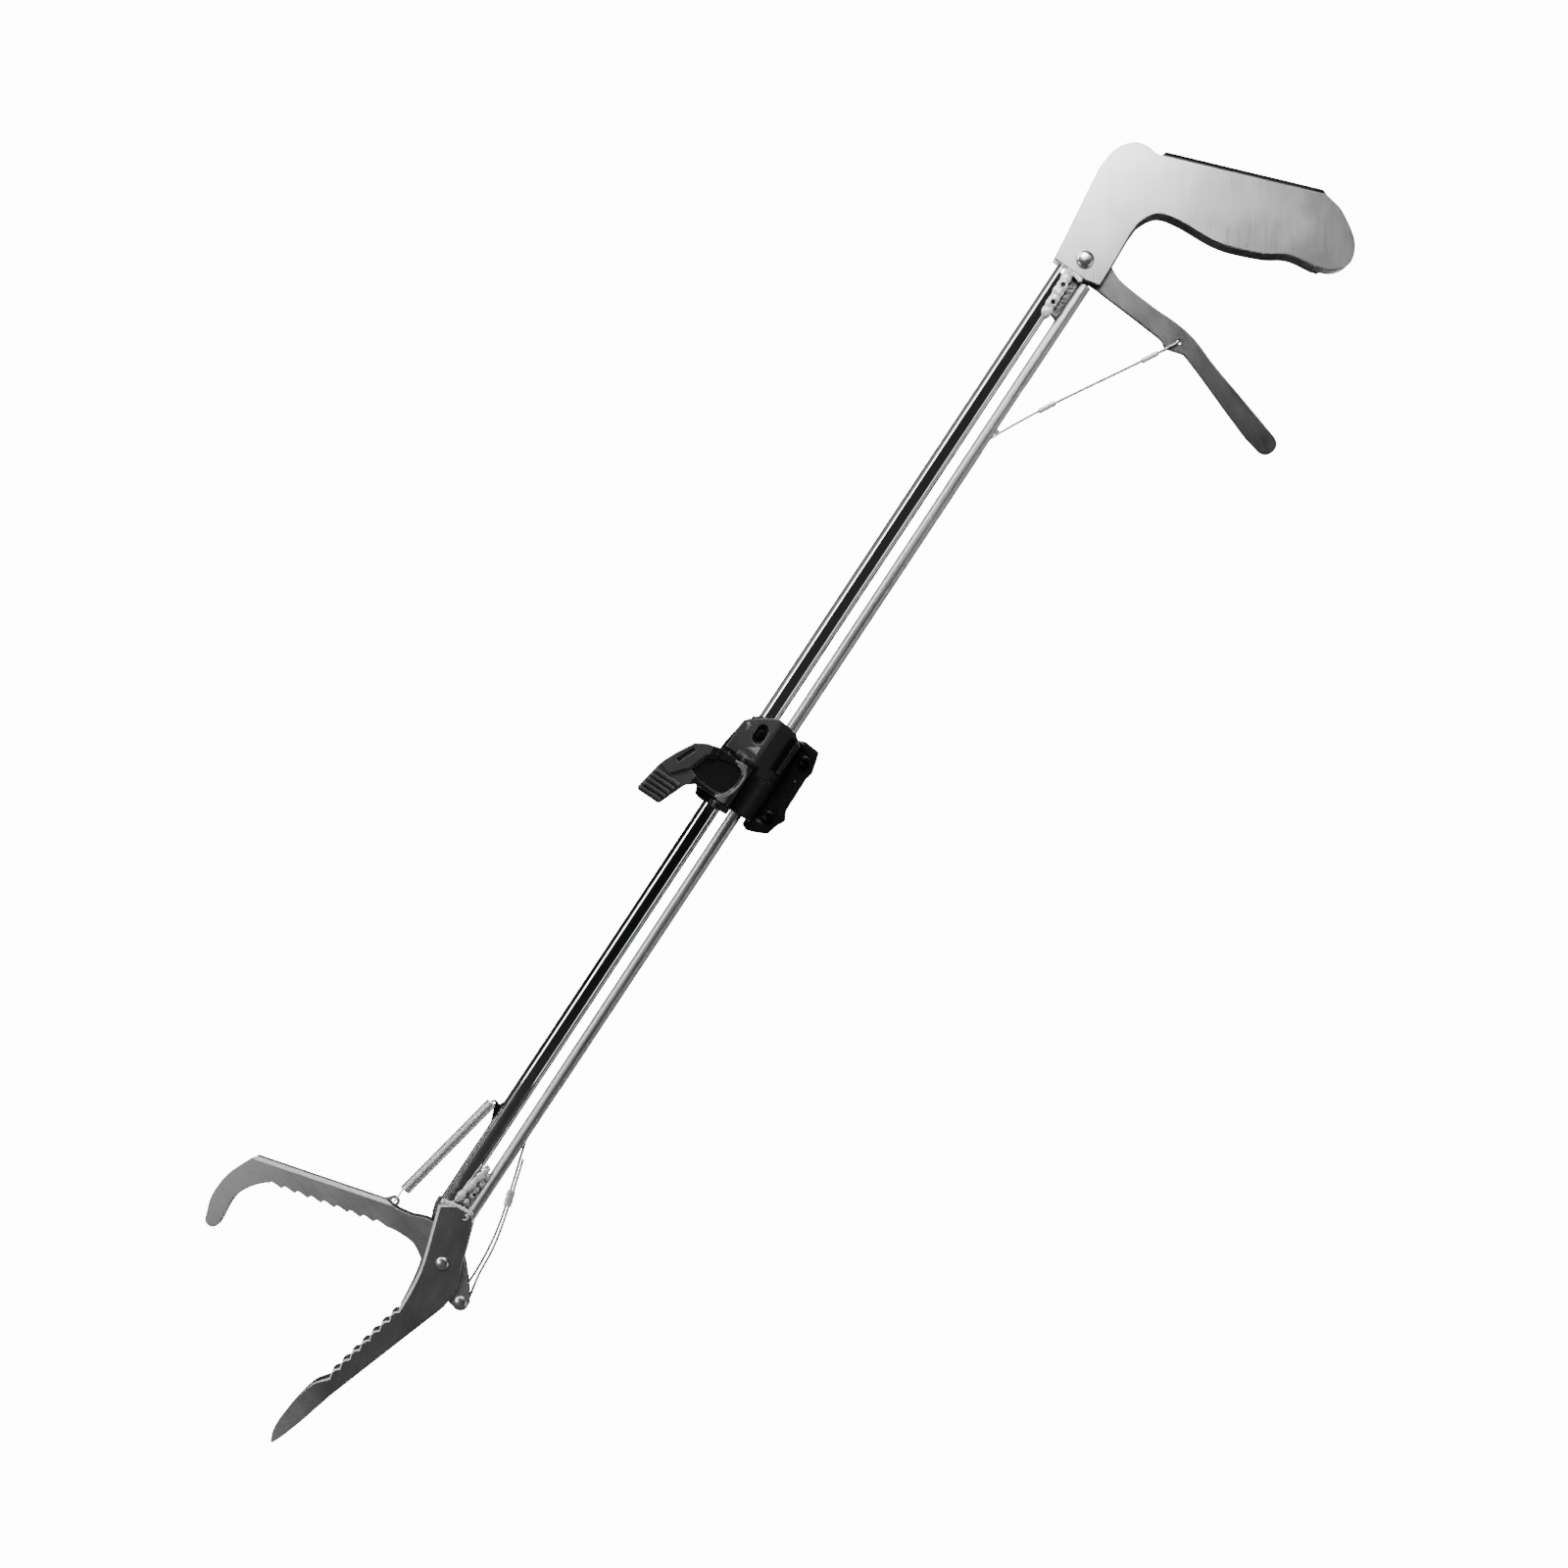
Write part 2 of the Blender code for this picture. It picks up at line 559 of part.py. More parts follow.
def make_spring():
    top = Vector((SPRING_TOP[0], 0, SPRING_TOP[1]))
    foot = Vector((SPRING_BOTTOM[0], 0, SPRING_BOTTOM[1]))
    down = (foot - top).normalized()
    coil_start = top + down * (2 * HOOK_RADIUS - 0.2)
    coil_end = foot - down * (2 * HOOK_RADIUS + SPRING_WIRE + GAP)
    coil = rod("return_spring", coil_start, coil_end, SPRING_RADIUS, "spring_top", 16)
    join(coil, hook_ring("spring_top_ring", SPRING_TOP, down, "spring_top"))
    paint(coil, SPRING_STEEL)
    paint(hook_ring("spring_foot_hook", SPRING_BOTTOM, -down, "spring_foot"), SPRING_STEEL)

    edge = -MAIN_RADIUS - GAP
    outline = [(edge, 194.4), (edge, 205.0), (-6.4, 204.6)] + arc(SPRING_TOP, 2.8, 110, 250, 8)
    lug = prism("spring_lug", outline, -LUG_HALF, LUG_HALF, "frame")
    paint(cut(lug, cross_rod("spring_lug_hole", SPRING_TOP, 3, LUG_HOLE_RADIUS, "frame", 12)), SATIN)


# ---------------------------------------------------------------- torch clamp

def half_ring(outer, sign, low, high, name):
    """Half a disc on one side of the split plane at Y = 0."""
    start = 180 if sign < 0 else 0
    edge = 0.25 * sign
    points = [(x, min(y, edge) if sign < 0 else max(y, edge))
              for x, y in arc((CLAMP_X, 0), outer, start, start + 180, 20)]
    return prism(name, points, low, high, "frame", "XY")


def clamp_shell(side, sign):
    """Half shell round both tubes with a screw flange on each side of the split."""
    name = "clamp_shell_" + side
    shell = half_ring(CLAMP_OUTER, sign, CLAMP_LOW, CLAMP_HIGH, name)
    flange = sorted((sign * 0.25, sign * FLANGE_DEPTH))
    left = [(-8, 387), (-16.5, 387), (-18.5, 389.5), (-18.5, 402.5), (-16.5, 405), (-8, 405)]
    right = [(16, 384), (20.2, 380.4), (23.5, 383.3), (29.7, 383.9), (32.1, 391.6), (34.0, 394.7),
             (31.6, 398.7), (31.2, 417.0), (31.7, 420.3), (28.9, 430.4), (21.1, 431.9), (16, 431)]
    join(shell, prism(name + "_left_flange", left, *flange, "frame"),
         prism(name + "_right_flange", right, *flange, "frame"))
    return shell


def bore_clamp(shell, name):
    cut(shell, rod(name + "_bore", (CLAMP_X, 0, 370), (CLAMP_X, 0, 445), CLAMP_BORE, "frame", 40))
    for i, centre in enumerate(FLANGE_SCREWS, 1):
        cut(shell, cross_rod(name + "_screw_hole_%d" % i, centre, 12, SCREW_RADIUS + GAP, "frame", 12))


def make_clamp_shells():
    front = clamp_shell("front", -1)
    lug = [(-9.9, 409.2), (-9.9, 424.2), (-1.9, 430.7), (4.4, 434.2), (12.4, 433.7), (14.6, 428.1),
           (14.6, 409.2)]
    join(front, prism("clamp_lug", lug, -19.6, -9.0, "frame"))
    x, y = LEVER_PIVOT
    for label, low, high in (("low", 380.6, LEVER_LOW - GAP), ("high", LEVER_HIGH + GAP, 410.4)):
        cheek = arc((x, y), 3.4, 180, 360, 8) + [(x + 6.5, -14), (x - 9.5, -14)]
        join(front, prism("lever_cheek_" + label, cheek, low, high, "frame", "XY"))
    bore_clamp(front, "clamp_front")
    cut(front, rod("lever_pin_hole", (x, y, 375), (x, y, 412), SCREW_RADIUS + GAP, "frame", 16),
        rod("plunger_hole", (PLUNGER_X, -30, PLUNGER_Z), (PLUNGER_X, 0, PLUNGER_Z),
            PLUNGER_RADIUS + GAP, "frame", 20))
    x, z = ADJUSTER
    pocket = arc((x, z + 2.3), 2.9, 0, 180, 8) + arc((x, z - 2.3), 2.9, 180, 360, 8)
    cut(front, prism("lug_pocket_cutter", pocket, -22, -17.4, "frame"))
    paint(front, BLACK_NYLON)

    rear = clamp_shell("rear", 1)
    join(rear, rod("swivel_boss", (CLAMP_X, 14, SWIVEL_Z), (CLAMP_X, 20, SWIVEL_Z), 10.0, "frame", 28))
    bore_clamp(rear, "clamp_rear")
    cut(rear, rod("swivel_hole", (CLAMP_X, 15, SWIVEL_Z), (CLAMP_X, 25, SWIVEL_Z),
                  SWIVEL_RADIUS + GAP, "frame", 16))
    paint(rear, BLACK_NYLON)


def make_clamp_fittings():
    for side, sign in (("front", -1), ("rear", 1)):
        pad = half_ring(CLAMP_BORE - GAP, sign, CLAMP_LOW + 2, CLAMP_HIGH - 2, "clamp_pad_" + side)
        cut(pad, rod("pad_main_bore_" + side, (0, 0, 370), (0, 0, 445), MAIN_RADIUS + GAP, "frame"),
            rod("pad_cable_bore_" + side, (CABLE_TUBE_X, 0, 370), (CABLE_TUBE_X, 0, 445),
                CABLE_TUBE_RADIUS + GAP, "frame", 20))
        if sign < 0:
            cut(pad, rod("pad_plunger_hole", (PLUNGER_X, -30, PLUNGER_Z), (PLUNGER_X, 0, PLUNGER_Z),
                         PLUNGER_RADIUS + GAP, "frame", 20))
        paint(pad, RUBBER)
    seat = FLANGE_DEPTH + GAP
    for i, (x, z) in enumerate(FLANGE_SCREWS, 1):
        head, length = 2.2, 2.2 + 2 * seat + 1.6
        profile = [(0, 0), (2.6, 0), (2.9, 0.6), (2.9, head), (SCREW_RADIUS, head),
                   (SCREW_RADIUS, length), (0, length)]
        screw = turned("clamp_screw_%d" % i, profile, (x, -seat - head, z), (0, 1, 0), "frame", 16)
        paint(screw, BLACK_STEEL)
        nut = pipe("clamp_nut_%d" % i, (x, seat, z), (x, seat + 2.4, z), 3.0, SCREW_RADIUS + GAP, "frame", 6)
        paint(nut, BLACK_STEEL)
    x, z = ADJUSTER
    profile = [(0, 0), (2.0, 0), (2.3, 0.4), (2.3, 1.2), (0, 1.2)]
    screw = turned("pad_adjuster", profile, (x, -18.9, z), (0, 1, 0), "frame", 20)
    slot_outline = [(x - 0.4, z - 3), (x + 0.4, z - 3), (x + 0.4, z + 3), (x - 0.4, z + 3)]
    slot = prism("adjuster_slot_cutter", slot_outline, -20, -18.4, "frame")
    paint(cut(screw, slot), BLACK_STEEL)


def make_cam_lever():
    x, y = LEVER_PIVOT
    barrel_start = (x, y + CAM_OFFSET, LEVER_LOW)
    barrel = rod("cam_lever", barrel_start, (x, y + CAM_OFFSET, LEVER_HIGH), CAM_RADIUS, "cam_lever", 28)
    blade = [(x, LEVER_LOW), (x, LEVER_HIGH), (-10.0, 404.9), (-22.3, 400.9), (-26.8, 389.2), (-31.8, 383.6),
             (-34.5, 368.6), (-33.6, 367.6), (-22.6, 367.2), (-21.4, 368.0), (-16.0, 381.8), (-11.9, 385.1)]
    join(barrel, prism("lever_blade", blade, y - 3.6, y + 0.6, "cam_lever"))
    cut(barrel, rod("lever_bore", (x, y, 370), (x, y, 420), SCREW_RADIUS + GAP, "cam_lever", 16))
    paint(barrel, BLACK_NYLON)
    paint(rod("lever_pin", (x, y, 380.2), (x, y, 410.9), SCREW_RADIUS, "frame", 16), BLACK_STEEL)
    plunger = rod("cam_plunger", (PLUNGER_X, -17.1, PLUNGER_Z),
                  (PLUNGER_X, -MAIN_RADIUS - GAP, PLUNGER_Z), PLUNGER_RADIUS, "cam_plunger", 20)
    paint(plunger, BLACK_STEEL)


def make_torch_holder():
    x, z = CLAMP_X, SWIVEL_Z
    low, high = z - RING_HALF_HEIGHT, z + RING_HALF_HEIGHT
    ring = rod("torch_ring", (x, RING_Y, low), (x, RING_Y, high), RING_OUTER, "torch_holder", 36)
    saddle = [(x - 9, 21.6), (x + 9, 21.6), (x + 9, 32), (x - 9, 32)]
    ears = [(x - 5.6, 52), (x + 5.6, 52), (x + 5.6, 66), (x - 5.6, 66)]
    join(ring, prism("torch_saddle", saddle, low, high, "torch_holder", "XY"),
         prism("torch_ears", ears, z - 6, z + 6, "torch_holder", "XY"))
    split = [(x - 1.8, 45), (x + 1.8, 45), (x + 1.8, 70), (x - 1.8, 70)]
    cut(ring, rod("torch_bore", (x, RING_Y, low - 5), (x, RING_Y, high + 5), RING_BORE, "torch_holder", 36),
        prism("torch_split", split, low - 5, high + 5, "torch_holder", "XY"),
        rod("torch_swivel_hole", (x, 15, z), (x, 35, z), SWIVEL_RADIUS + GAP, "torch_holder", 16),
        rod("torch_head_pocket", (x, 23.9, z), (x, 32, z), 4.5 + GAP, "torch_holder", 20),
        rod("torch_screw_hole", (x - 20, RING_SCREW_Y, z), (x + 20, RING_SCREW_Y, z),
            THUMBSCREW_RADIUS + GAP, "torch_holder", 12))
    paint(ring, BLACK_NYLON)

    inner, outer = RING_BORE - 1.6, RING_BORE - GAP
    strip = arc((x, RING_Y), outer, 110, 430, 30) + arc((x, RING_Y), inner, 430, 110, 30)
    paint(prism("torch_pad", strip, low + 1.5, high - 1.5, "torch_holder", "XY"), RUBBER)

    bolt = [(0, 0), (SWIVEL_RADIUS, 0), (SWIVEL_RADIUS, 8.4), (4.5, 8.4), (4.5, 10.4), (3.6, 11.0),
            (0, 11.0)]
    paint(turned("swivel_bolt", bolt, (x, 15.8, z), (0, 1, 0), "frame", 20), BLACK_STEEL)
    washer = pipe("swivel_washer", (x, 20.3, z), (x, 21.3, z), 8.5, SWIVEL_RADIUS + GAP, "frame", 28)
    paint(washer, RUBBER)

    y = RING_SCREW_Y
    knob = [(0, 0), (5.6, 0), (6.0, 0.5), (6.0, 5.0), (5.2, 5.6), (THUMBSCREW_RADIUS, 5.6),
            (THUMBSCREW_RADIUS, 21.0), (0, 21.0)]
    paint(turned("torch_thumbscrew", knob, (x - 11.5, y, z), (1, 0, 0), "torch_screw", 24), BLACK_NYLON)
    nut = pipe("torch_nut", (x + 5.9, y, z), (x + 8.3, y, z), 3.3, THUMBSCREW_RADIUS + GAP, "torch_holder", 6)
    paint(nut, BLACK_STEEL)


clear_scene()
BODIES = make_bodies()
POLISHED = metal("polished_steel", (0.62, 0.62, 0.63), 0.12)
SATIN = metal("satin_steel", (0.55, 0.55, 0.56), 0.32)
BRUSHED = metal("brushed_sheet", (0.66, 0.66, 0.67), 0.30)
DARK_SATIN = metal("jaw_sheet", (0.36, 0.36, 0.37), 0.38)
WELD = metal("weld_metal", (0.72, 0.72, 0.73), 0.22)
BRASS = metal("bush_brass", (0.72, 0.55, 0.28), 0.35)
STEEL_WIRE = metal("steel_wire", (0.60, 0.60, 0.61), 0.30)
CRIMP = metal("crimp_sleeve", (0.70, 0.70, 0.71), 0.35)
SPRING_STEEL = metal("spring_steel", (0.58, 0.58, 0.59), 0.25)
BLACK_STEEL = metal("black_screws", (0.10, 0.10, 0.10), 0.40)
BLACK_NYLON = plastic("black_nylon", (0.025, 0.025, 0.027), 0.45)
RUBBER = plastic("black_rubber", (0.02, 0.02, 0.02), 0.80)

make_shaft()
make_welds()
make_handle()
make_trigger()
make_upper_link()
make_lower_link()
make_pull_cable()
make_fixed_jaw()
make_moving_jaw()
make_spring()
make_clamp_shells()
make_clamp_fittings()
make_cam_lever()
make_torch_holder()
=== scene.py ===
"""The looks of the pick-up tongs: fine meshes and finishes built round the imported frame.

Shapes are drawn in millimetres, X across the shaft from its axis, Z up from the leaf tip of the
fixed jaw, and front at -Y.  PLACE turns that drawing into the frame's metres.
"""
import random
from math import copysign, cos, exp, hypot, pi, radians, sin

import bmesh
import bpy
from mathutils import Matrix, Vector, noise


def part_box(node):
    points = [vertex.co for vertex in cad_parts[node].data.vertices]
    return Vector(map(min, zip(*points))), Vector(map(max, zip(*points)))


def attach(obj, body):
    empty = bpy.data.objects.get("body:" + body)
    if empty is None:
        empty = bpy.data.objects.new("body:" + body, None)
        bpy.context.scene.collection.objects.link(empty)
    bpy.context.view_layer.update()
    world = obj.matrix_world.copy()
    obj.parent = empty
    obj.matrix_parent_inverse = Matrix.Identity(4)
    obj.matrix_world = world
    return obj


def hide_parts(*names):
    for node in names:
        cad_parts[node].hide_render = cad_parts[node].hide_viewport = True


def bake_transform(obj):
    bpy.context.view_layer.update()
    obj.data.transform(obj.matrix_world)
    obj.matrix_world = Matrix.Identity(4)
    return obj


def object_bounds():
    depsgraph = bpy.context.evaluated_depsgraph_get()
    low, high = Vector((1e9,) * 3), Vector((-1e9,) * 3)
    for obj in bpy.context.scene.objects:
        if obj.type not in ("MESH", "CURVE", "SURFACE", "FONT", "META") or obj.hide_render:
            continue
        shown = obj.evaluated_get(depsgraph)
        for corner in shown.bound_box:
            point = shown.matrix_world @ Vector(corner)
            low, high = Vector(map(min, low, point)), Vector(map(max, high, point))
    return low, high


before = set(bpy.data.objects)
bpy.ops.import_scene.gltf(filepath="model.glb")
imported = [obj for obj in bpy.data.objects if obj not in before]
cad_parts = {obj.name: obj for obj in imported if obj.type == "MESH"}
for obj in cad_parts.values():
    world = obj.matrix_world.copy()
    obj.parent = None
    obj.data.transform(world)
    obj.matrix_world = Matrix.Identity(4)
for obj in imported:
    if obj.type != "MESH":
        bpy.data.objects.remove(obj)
CAD_LOW, CAD_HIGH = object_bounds()

MM = 0.001
TUBE_LOW, TUBE_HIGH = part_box("main_tube")
TIP_LOW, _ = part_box("fixed_jaw")
PLACE = Matrix.Translation(((TUBE_LOW.x + TUBE_HIGH.x) / 2, 0.0, TIP_LOW.z)) @ Matrix.Scale(MM, 4)

# Joint axes and leading sizes, as in the frame.
TRIGGER_PIVOT = (5.1, 707.2)
TRIGGER_EYE = (66.5, 699.6)
JAW_PIVOT = (14.0, 118.2)
TAIL_PIVOT = (32.1, 106.7)
SPRING_BOTTOM = (-23.0, 129.8)
LEVER_PIVOT = (2.5, -23.4)
HANDLE_HALF, HANDLE_SHEET = 6.7, 1.5
JAW_HALF, JAW_SHEET = 4.7, 1.2
CABLE_TUBE_X = 12.3
CLAMP_X = 5.35
CLAMP_LOW, CLAMP_HIGH = 384.0, 431.0
CLAMP_BORE, CLAMP_OUTER = 13.0, 17.5
FLANGE_SCREWS = ((-14.8, 396.0), (26.5, 391.5), (26.5, 424.0))
ADJUSTER = (1.2, 422.9)
SWIVEL_Z = 407.5
RING_Y, RING_BORE, RING_OUTER = 40.5, 13.5, 16.5
RING_SCREW_Y = 61.5
WIRE_RADIUS = 0.65
# Voxel size, smoothing rounds and share of faces kept in the clamp's mouldings.
CLAMP_MOULD = (0.42, 5, 0.4)
# Moulded pieces are shaded smooth over every edge.
SMOOTH_ALL = 180


# ---- outlines

def arc(centre, radius, start, stop, steps):
    """Points on an arc, angles in degrees, both ends included."""
    points = []
    for i in range(steps + 1):
        angle = radians(start + (stop - start) * i / steps)
        points.append((centre[0] + radius * cos(angle), centre[1] + radius * sin(angle)))
    return points


def rectangle(left, low, right, high):
    return [(left, low), (right, low), (right, high), (left, high)]


def long_hole(x, low, high, radius, steps):
    """A slot with round ends, centred on low and high."""
    return arc((x, high), radius, 0, 180, steps) + arc((x, low), radius, 180, 360, steps)


def shifted(point, right, up):
    return (point[0] + right, point[1] + up)


def smooth_run(points, steps=6):
    """Catmull-Rom curve through the points; works for 2-D and 3-D points."""
    knots = [Vector(p) for p in points]
    knots = [2 * knots[0] - knots[1]] + knots + [2 * knots[-1] - knots[-2]]
    result = []
    for a, b, c, d in zip(knots, knots[1:], knots[2:], knots[3:]):
        for i in range(steps):
            t = i / steps
            result.append(tuple(0.5 * (2 * b + (c - a) * t + (2 * a - 5 * b + 4 * c - d) * t ** 2
                + (3 * b - a - 3 * c + d) * t ** 3)))
    result.append(tuple(knots[-2]))
    return result


def toothed_edge(start, end, count, depth, lean):
    """Saw teeth from start to end with a small flat in each valley; lean places the valley."""
    along = Vector(end) - Vector(start)
    inward = Vector((-along.y, along.x)).normalized() * depth
    points = []
    for i in range(count):
        for step, share in ((0.0, 0.0), (lean * 0.55, 1.0), (lean, 1.0)):
            points.append(tuple(Vector(start) + along * ((i + step) / count) + inward * share))
    points.append(tuple(end))
    return points


def evenly(points, spacing):
    """The same 3-D run with its points a fixed spacing apart."""
    knots = [Vector(p) for p in points]
    lengths = [0.0]
    for a, b in zip(knots, knots[1:]):
        lengths.append(lengths[-1] + (b - a).length)
    count = max(2, round(lengths[-1] / spacing))
    result, k = [], 0
    for i in range(count + 1):
        wanted = lengths[-1] * i / count
        while k < len(knots) - 2 and lengths[k + 1] < wanted:
            k += 1
        share = (wanted - lengths[k]) / max(lengths[k + 1] - lengths[k], 1e-9)
        result.append(knots[k].lerp(knots[k + 1], share))
    return result


# ---- meshes

def prism(outline, low, high, plane="XZ"):
    """A closed solid: the outline in its plane, run from low to high along the third axis."""
    order = {"XZ": lambda u, v, w: (u, w, v), "XY": lambda u, v, w: (u, v, w), "YZ": lambda u, v,
        w: (w, u, v)}[plane]
    shape = bmesh.new()
    near = [shape.verts.new(order(u, v, low)) for u, v in outline]
    far = [shape.verts.new(order(u, v, high)) for u, v in outline]
    shape.faces.new(near)
    shape.faces.new(far)
    for i in range(len(outline)):
        k = (i + 1) % len(outline)
        shape.faces.new((near[i], near[k], far[k], far[i]))
    bmesh.ops.recalc_face_normals(shape, faces=shape.faces)
    return shape


def lathe(profile, centre, axis, segments=48, hollow=False, ripple=None):
    """Turn a (radius, height) profile round an axis; ripple(angle, height) scales its radius."""
    shape = bmesh.new()
    turn = Vector((0, 0, 1)).rotation_difference(Vector(axis)).to_matrix()
    rings = []
    for radius, height in profile:
        ring = []
        for i in range(1 if radius == 0 else segments):
            angle = 2 * pi * i / segments
            wide = radius * (ripple(angle, height) if ripple else 1.0)
            local = Vector((wide * cos(angle), wide * sin(angle), height))
            ring.append(shape.verts.new(turn @ local + Vector(centre)))
        rings.append(ring)
    pairs = list(zip(rings, rings[1:]))
    if hollow:
        pairs.append((rings[-1], rings[0]))
    for lower, upper in pairs:
        for i in range(segments):
            k = (i + 1) % segments
            corners = [lower[i % len(lower)], lower[k % len(lower)], upper[k % len(upper)],
                upper[i % len(upper)]]
            shape.faces.new(list(dict.fromkeys(corners)))
    bmesh.ops.recalc_face_normals(shape, faces=shape.faces)
    return shape


def rod(start, end, radius, segments=32):
    length = (Vector(end) - Vector(start)).length
    return lathe([(0, 0), (radius, 0), (radius, length), (0, length)], start,
        Vector(end) - Vector(start), segments)


def cross_rod(centre, half, radius, segments=32):
    """A rod along Y through an XZ centre."""
    x, z = centre
    return rod((x, -half, z), (x, half, z), radius, segments)


def walk_frames(points):
    """Two side vectors at each point that turn with the run but don't spin round it."""
    tangents = []
    for i in range(len(points)):
        ahead = points[min(i + 1, len(points) - 1)]
        tangents.append((ahead - points[max(i - 1, 0)]).normalized())
    side = tangents[0].cross(Vector((0.31, 0.83, 0.46))).normalized()
    result = []
    for tangent in tangents:
        side = (side - tangent * side.dot(tangent)).normalized()
        result.append((side, tangent.cross(side)))
    return result


def skin(shape, rings):
    """Join rings of equal size into a tube and close its two ends."""
    sides = len(rings[0])
    for ring, following in zip(rings, rings[1:]):
        for k in range(sides):
            n = (k + 1) % sides
            shape.faces.new((ring[k], ring[n], following[n], following[k]))
    shape.faces.new(rings[0])
    shape.faces.new(rings[-1])


def sweep(shape, points, radius, sides=8):
    """Add a round wire with closed ends along the points."""
    points = [Vector(p) for p in points]
    rings = []
    for point, (side, over) in zip(points, walk_frames(points)):
        ring = []
        for k in range(sides):
            angle = 2 * pi * k / sides
            around = side * cos(angle) + over * sin(angle)
            ring.append(shape.verts.new(point + around * radius))
        rings.append(ring)
    skin(shape, rings)


def rope(points, radius, strands=6, lay=5.0, spacing=0.45):
    """Stranded wire rope: outer strands wound round a core, lay millimetres to a turn."""
    shape = bmesh.new()
    run = evenly(points, spacing)
    frames = walk_frames(run)
    sweep(shape, run, radius * 0.42, 6)
    for s in range(strands):
        strand = []
        for i, (point, (side, over)) in enumerate(zip(run, frames)):
            angle = 2 * pi * (s / strands + i * spacing / lay)
            strand.append(point + (side * cos(angle) + over * sin(angle)) * radius * 0.64)
        sweep(shape, strand, radius * 0.36, 6)
    bmesh.ops.recalc_face_normals(shape, faces=shape.faces)
    return shape


def put(name, data):
    """A new linked object."""
    made = bpy.data.objects.new(name, data)
    bpy.context.collection.objects.link(made)
    return made


def to_mesh(shape):
    mesh = bpy.data.meshes.new("drawing")
    shape.to_mesh(mesh)
    shape.free()
    return mesh


def evaluated(work, shapes):
    """The mesh of a work object with its modifiers done, as a bmesh; clears what it used."""
    finished = work.evaluated_get(bpy.context.evaluated_depsgraph_get())
    mesh = bpy.data.meshes.new_from_object(finished)
    for used in [work] + shapes:
        bpy.data.objects.remove(used)
    shape = bmesh.new()
    shape.from_mesh(mesh)
    bpy.data.meshes.remove(mesh)
    return shape


def carve(base, joins=(), cuts=(), limits=()):
    """Boolean union, difference and intersection of drawn shapes."""
    work = put("work", to_mesh(base))
    tools = []
    for operation, shapes in (("UNION", joins), ("DIFFERENCE", cuts), ("INTERSECT", limits)):
        for shape in shapes:
            tool = put("tool", to_mesh(shape))
            modifier = work.modifiers.new("carve", "BOOLEAN")
            modifier.operation = operation
            modifier.solver = "EXACT"
            modifier.object = tool
            tools.append(tool)
    return evaluated(work, tools)


def moulded(shape, voxel, rounds, keep=1.0):
    """Round every edge of a solid as a mould does, by remeshing and smoothing it."""
    work = put("work", to_mesh(shape))
    remesh = work.modifiers.new("remesh", "REMESH")
    remesh.mode = "VOXEL"
    remesh.voxel_size = voxel
    relax = work.modifiers.new("relax", "SMOOTH")
    relax.factor = 0.5
    relax.iterations = rounds
    if keep < 1.0:
        thin = work.modifiers.new("thin", "DECIMATE")
        thin.ratio = keep
    return evaluated(work, [])


def bevel(shape, edges, width, steps, clamp=True, finish=-1):
    bmesh.ops.bevel(shape, geom=edges, offset=width, offset_type="OFFSET", segments=steps, profile=0.5,
        affect="EDGES", clamp_overlap=clamp, material=finish)


def sharp_edges(shape, angle):
    return [e for e in shape.edges if e.is_manifold and e.calc_face_angle() > radians(angle)]


def round_edges(shape, width, steps=2, angle=40):
    """Bevel every edge that is sharper than the angle."""
    bevel(shape, sharp_edges(shape, angle), width, steps)
    return shape


def folded_channel(outline, rear_outline, fold, half, sheet, bend, edge, slant=None):
    """Two side plates joined by a web along one straight fold of the outline.

    Both outlines have the same points along the fold and the same number of points.
    fold is the index of the fold's first point, its second is the next one.  slant moves points of
    the front plate's inner face, which leaves a chamfered cut edge.  Material 1 is the cut
    edge of the sheet, material 2 the outside of the bend, material 0 everything else.
    """
    count = len(outline)
    after = (fold + 1) % count
    corners = zip(outline, outline[1:] + outline[:1])
    area = sum(here[0] * following[1] - following[0] * here[1] for here, following in corners)
    along = (Vector(outline[after]) - Vector(outline[fold])).normalized()
    inward = Vector((-along.y, along.x)) * (sheet if area > 0 else -sheet)
    shape = bmesh.new()
    outer, inner = {}, {}
    for sign, plate in ((-1, outline), (1, rear_outline)):
        inset = [Vector(p) for p in plate]
        for i in (fold, after):
            inset[i] += inward
        if slant and sign < 0:
            inset = [point + Vector(slant.get(i, (0, 0))) for i, point in enumerate(inset)]
        outer[sign] = [shape.verts.new((p[0], sign * half, p[1])) for p in plate]
        inner[sign] = [shape.verts.new((p[0], sign * (half - sheet), p[1])) for p in inset]
        shape.faces.new(outer[sign])
        shape.faces.new(inner[sign])
        for i in range(count):
            k = (i + 1) % count
            if i != fold:
                rim = shape.faces.new((outer[sign][i], outer[sign][k], inner[sign][k], inner[sign][i]))
                rim.material_index = 1
    for plates in (outer, inner):
        shape.faces.new((plates[-1][fold], plates[-1][after], plates[1][after], plates[1][fold]))
    for i in (fold, after):
        end = shape.faces.new((outer[-1][i], outer[1][i], inner[1][i], inner[-1][i]))
        end.material_index = 1
    bmesh.ops.recalc_face_normals(shape, faces=shape.faces)
    for plates, radius, steps, finish in ((outer, bend, 6, 2), (inner, bend - sheet, 3, 0)):
        folds = [shape.edges.get((plates[sign][fold], plates[sign][after])) for sign in (-1, 1)]
        bevel(shape, folds, radius, steps, clamp=False, finish=finish)
    rims = [e for e in sharp_edges(shape, 50) if min(abs(v.co.y) for v in e.verts) > half - 0.1]
    bevel(shape, rims, edge, 4, finish=1)
    return shape


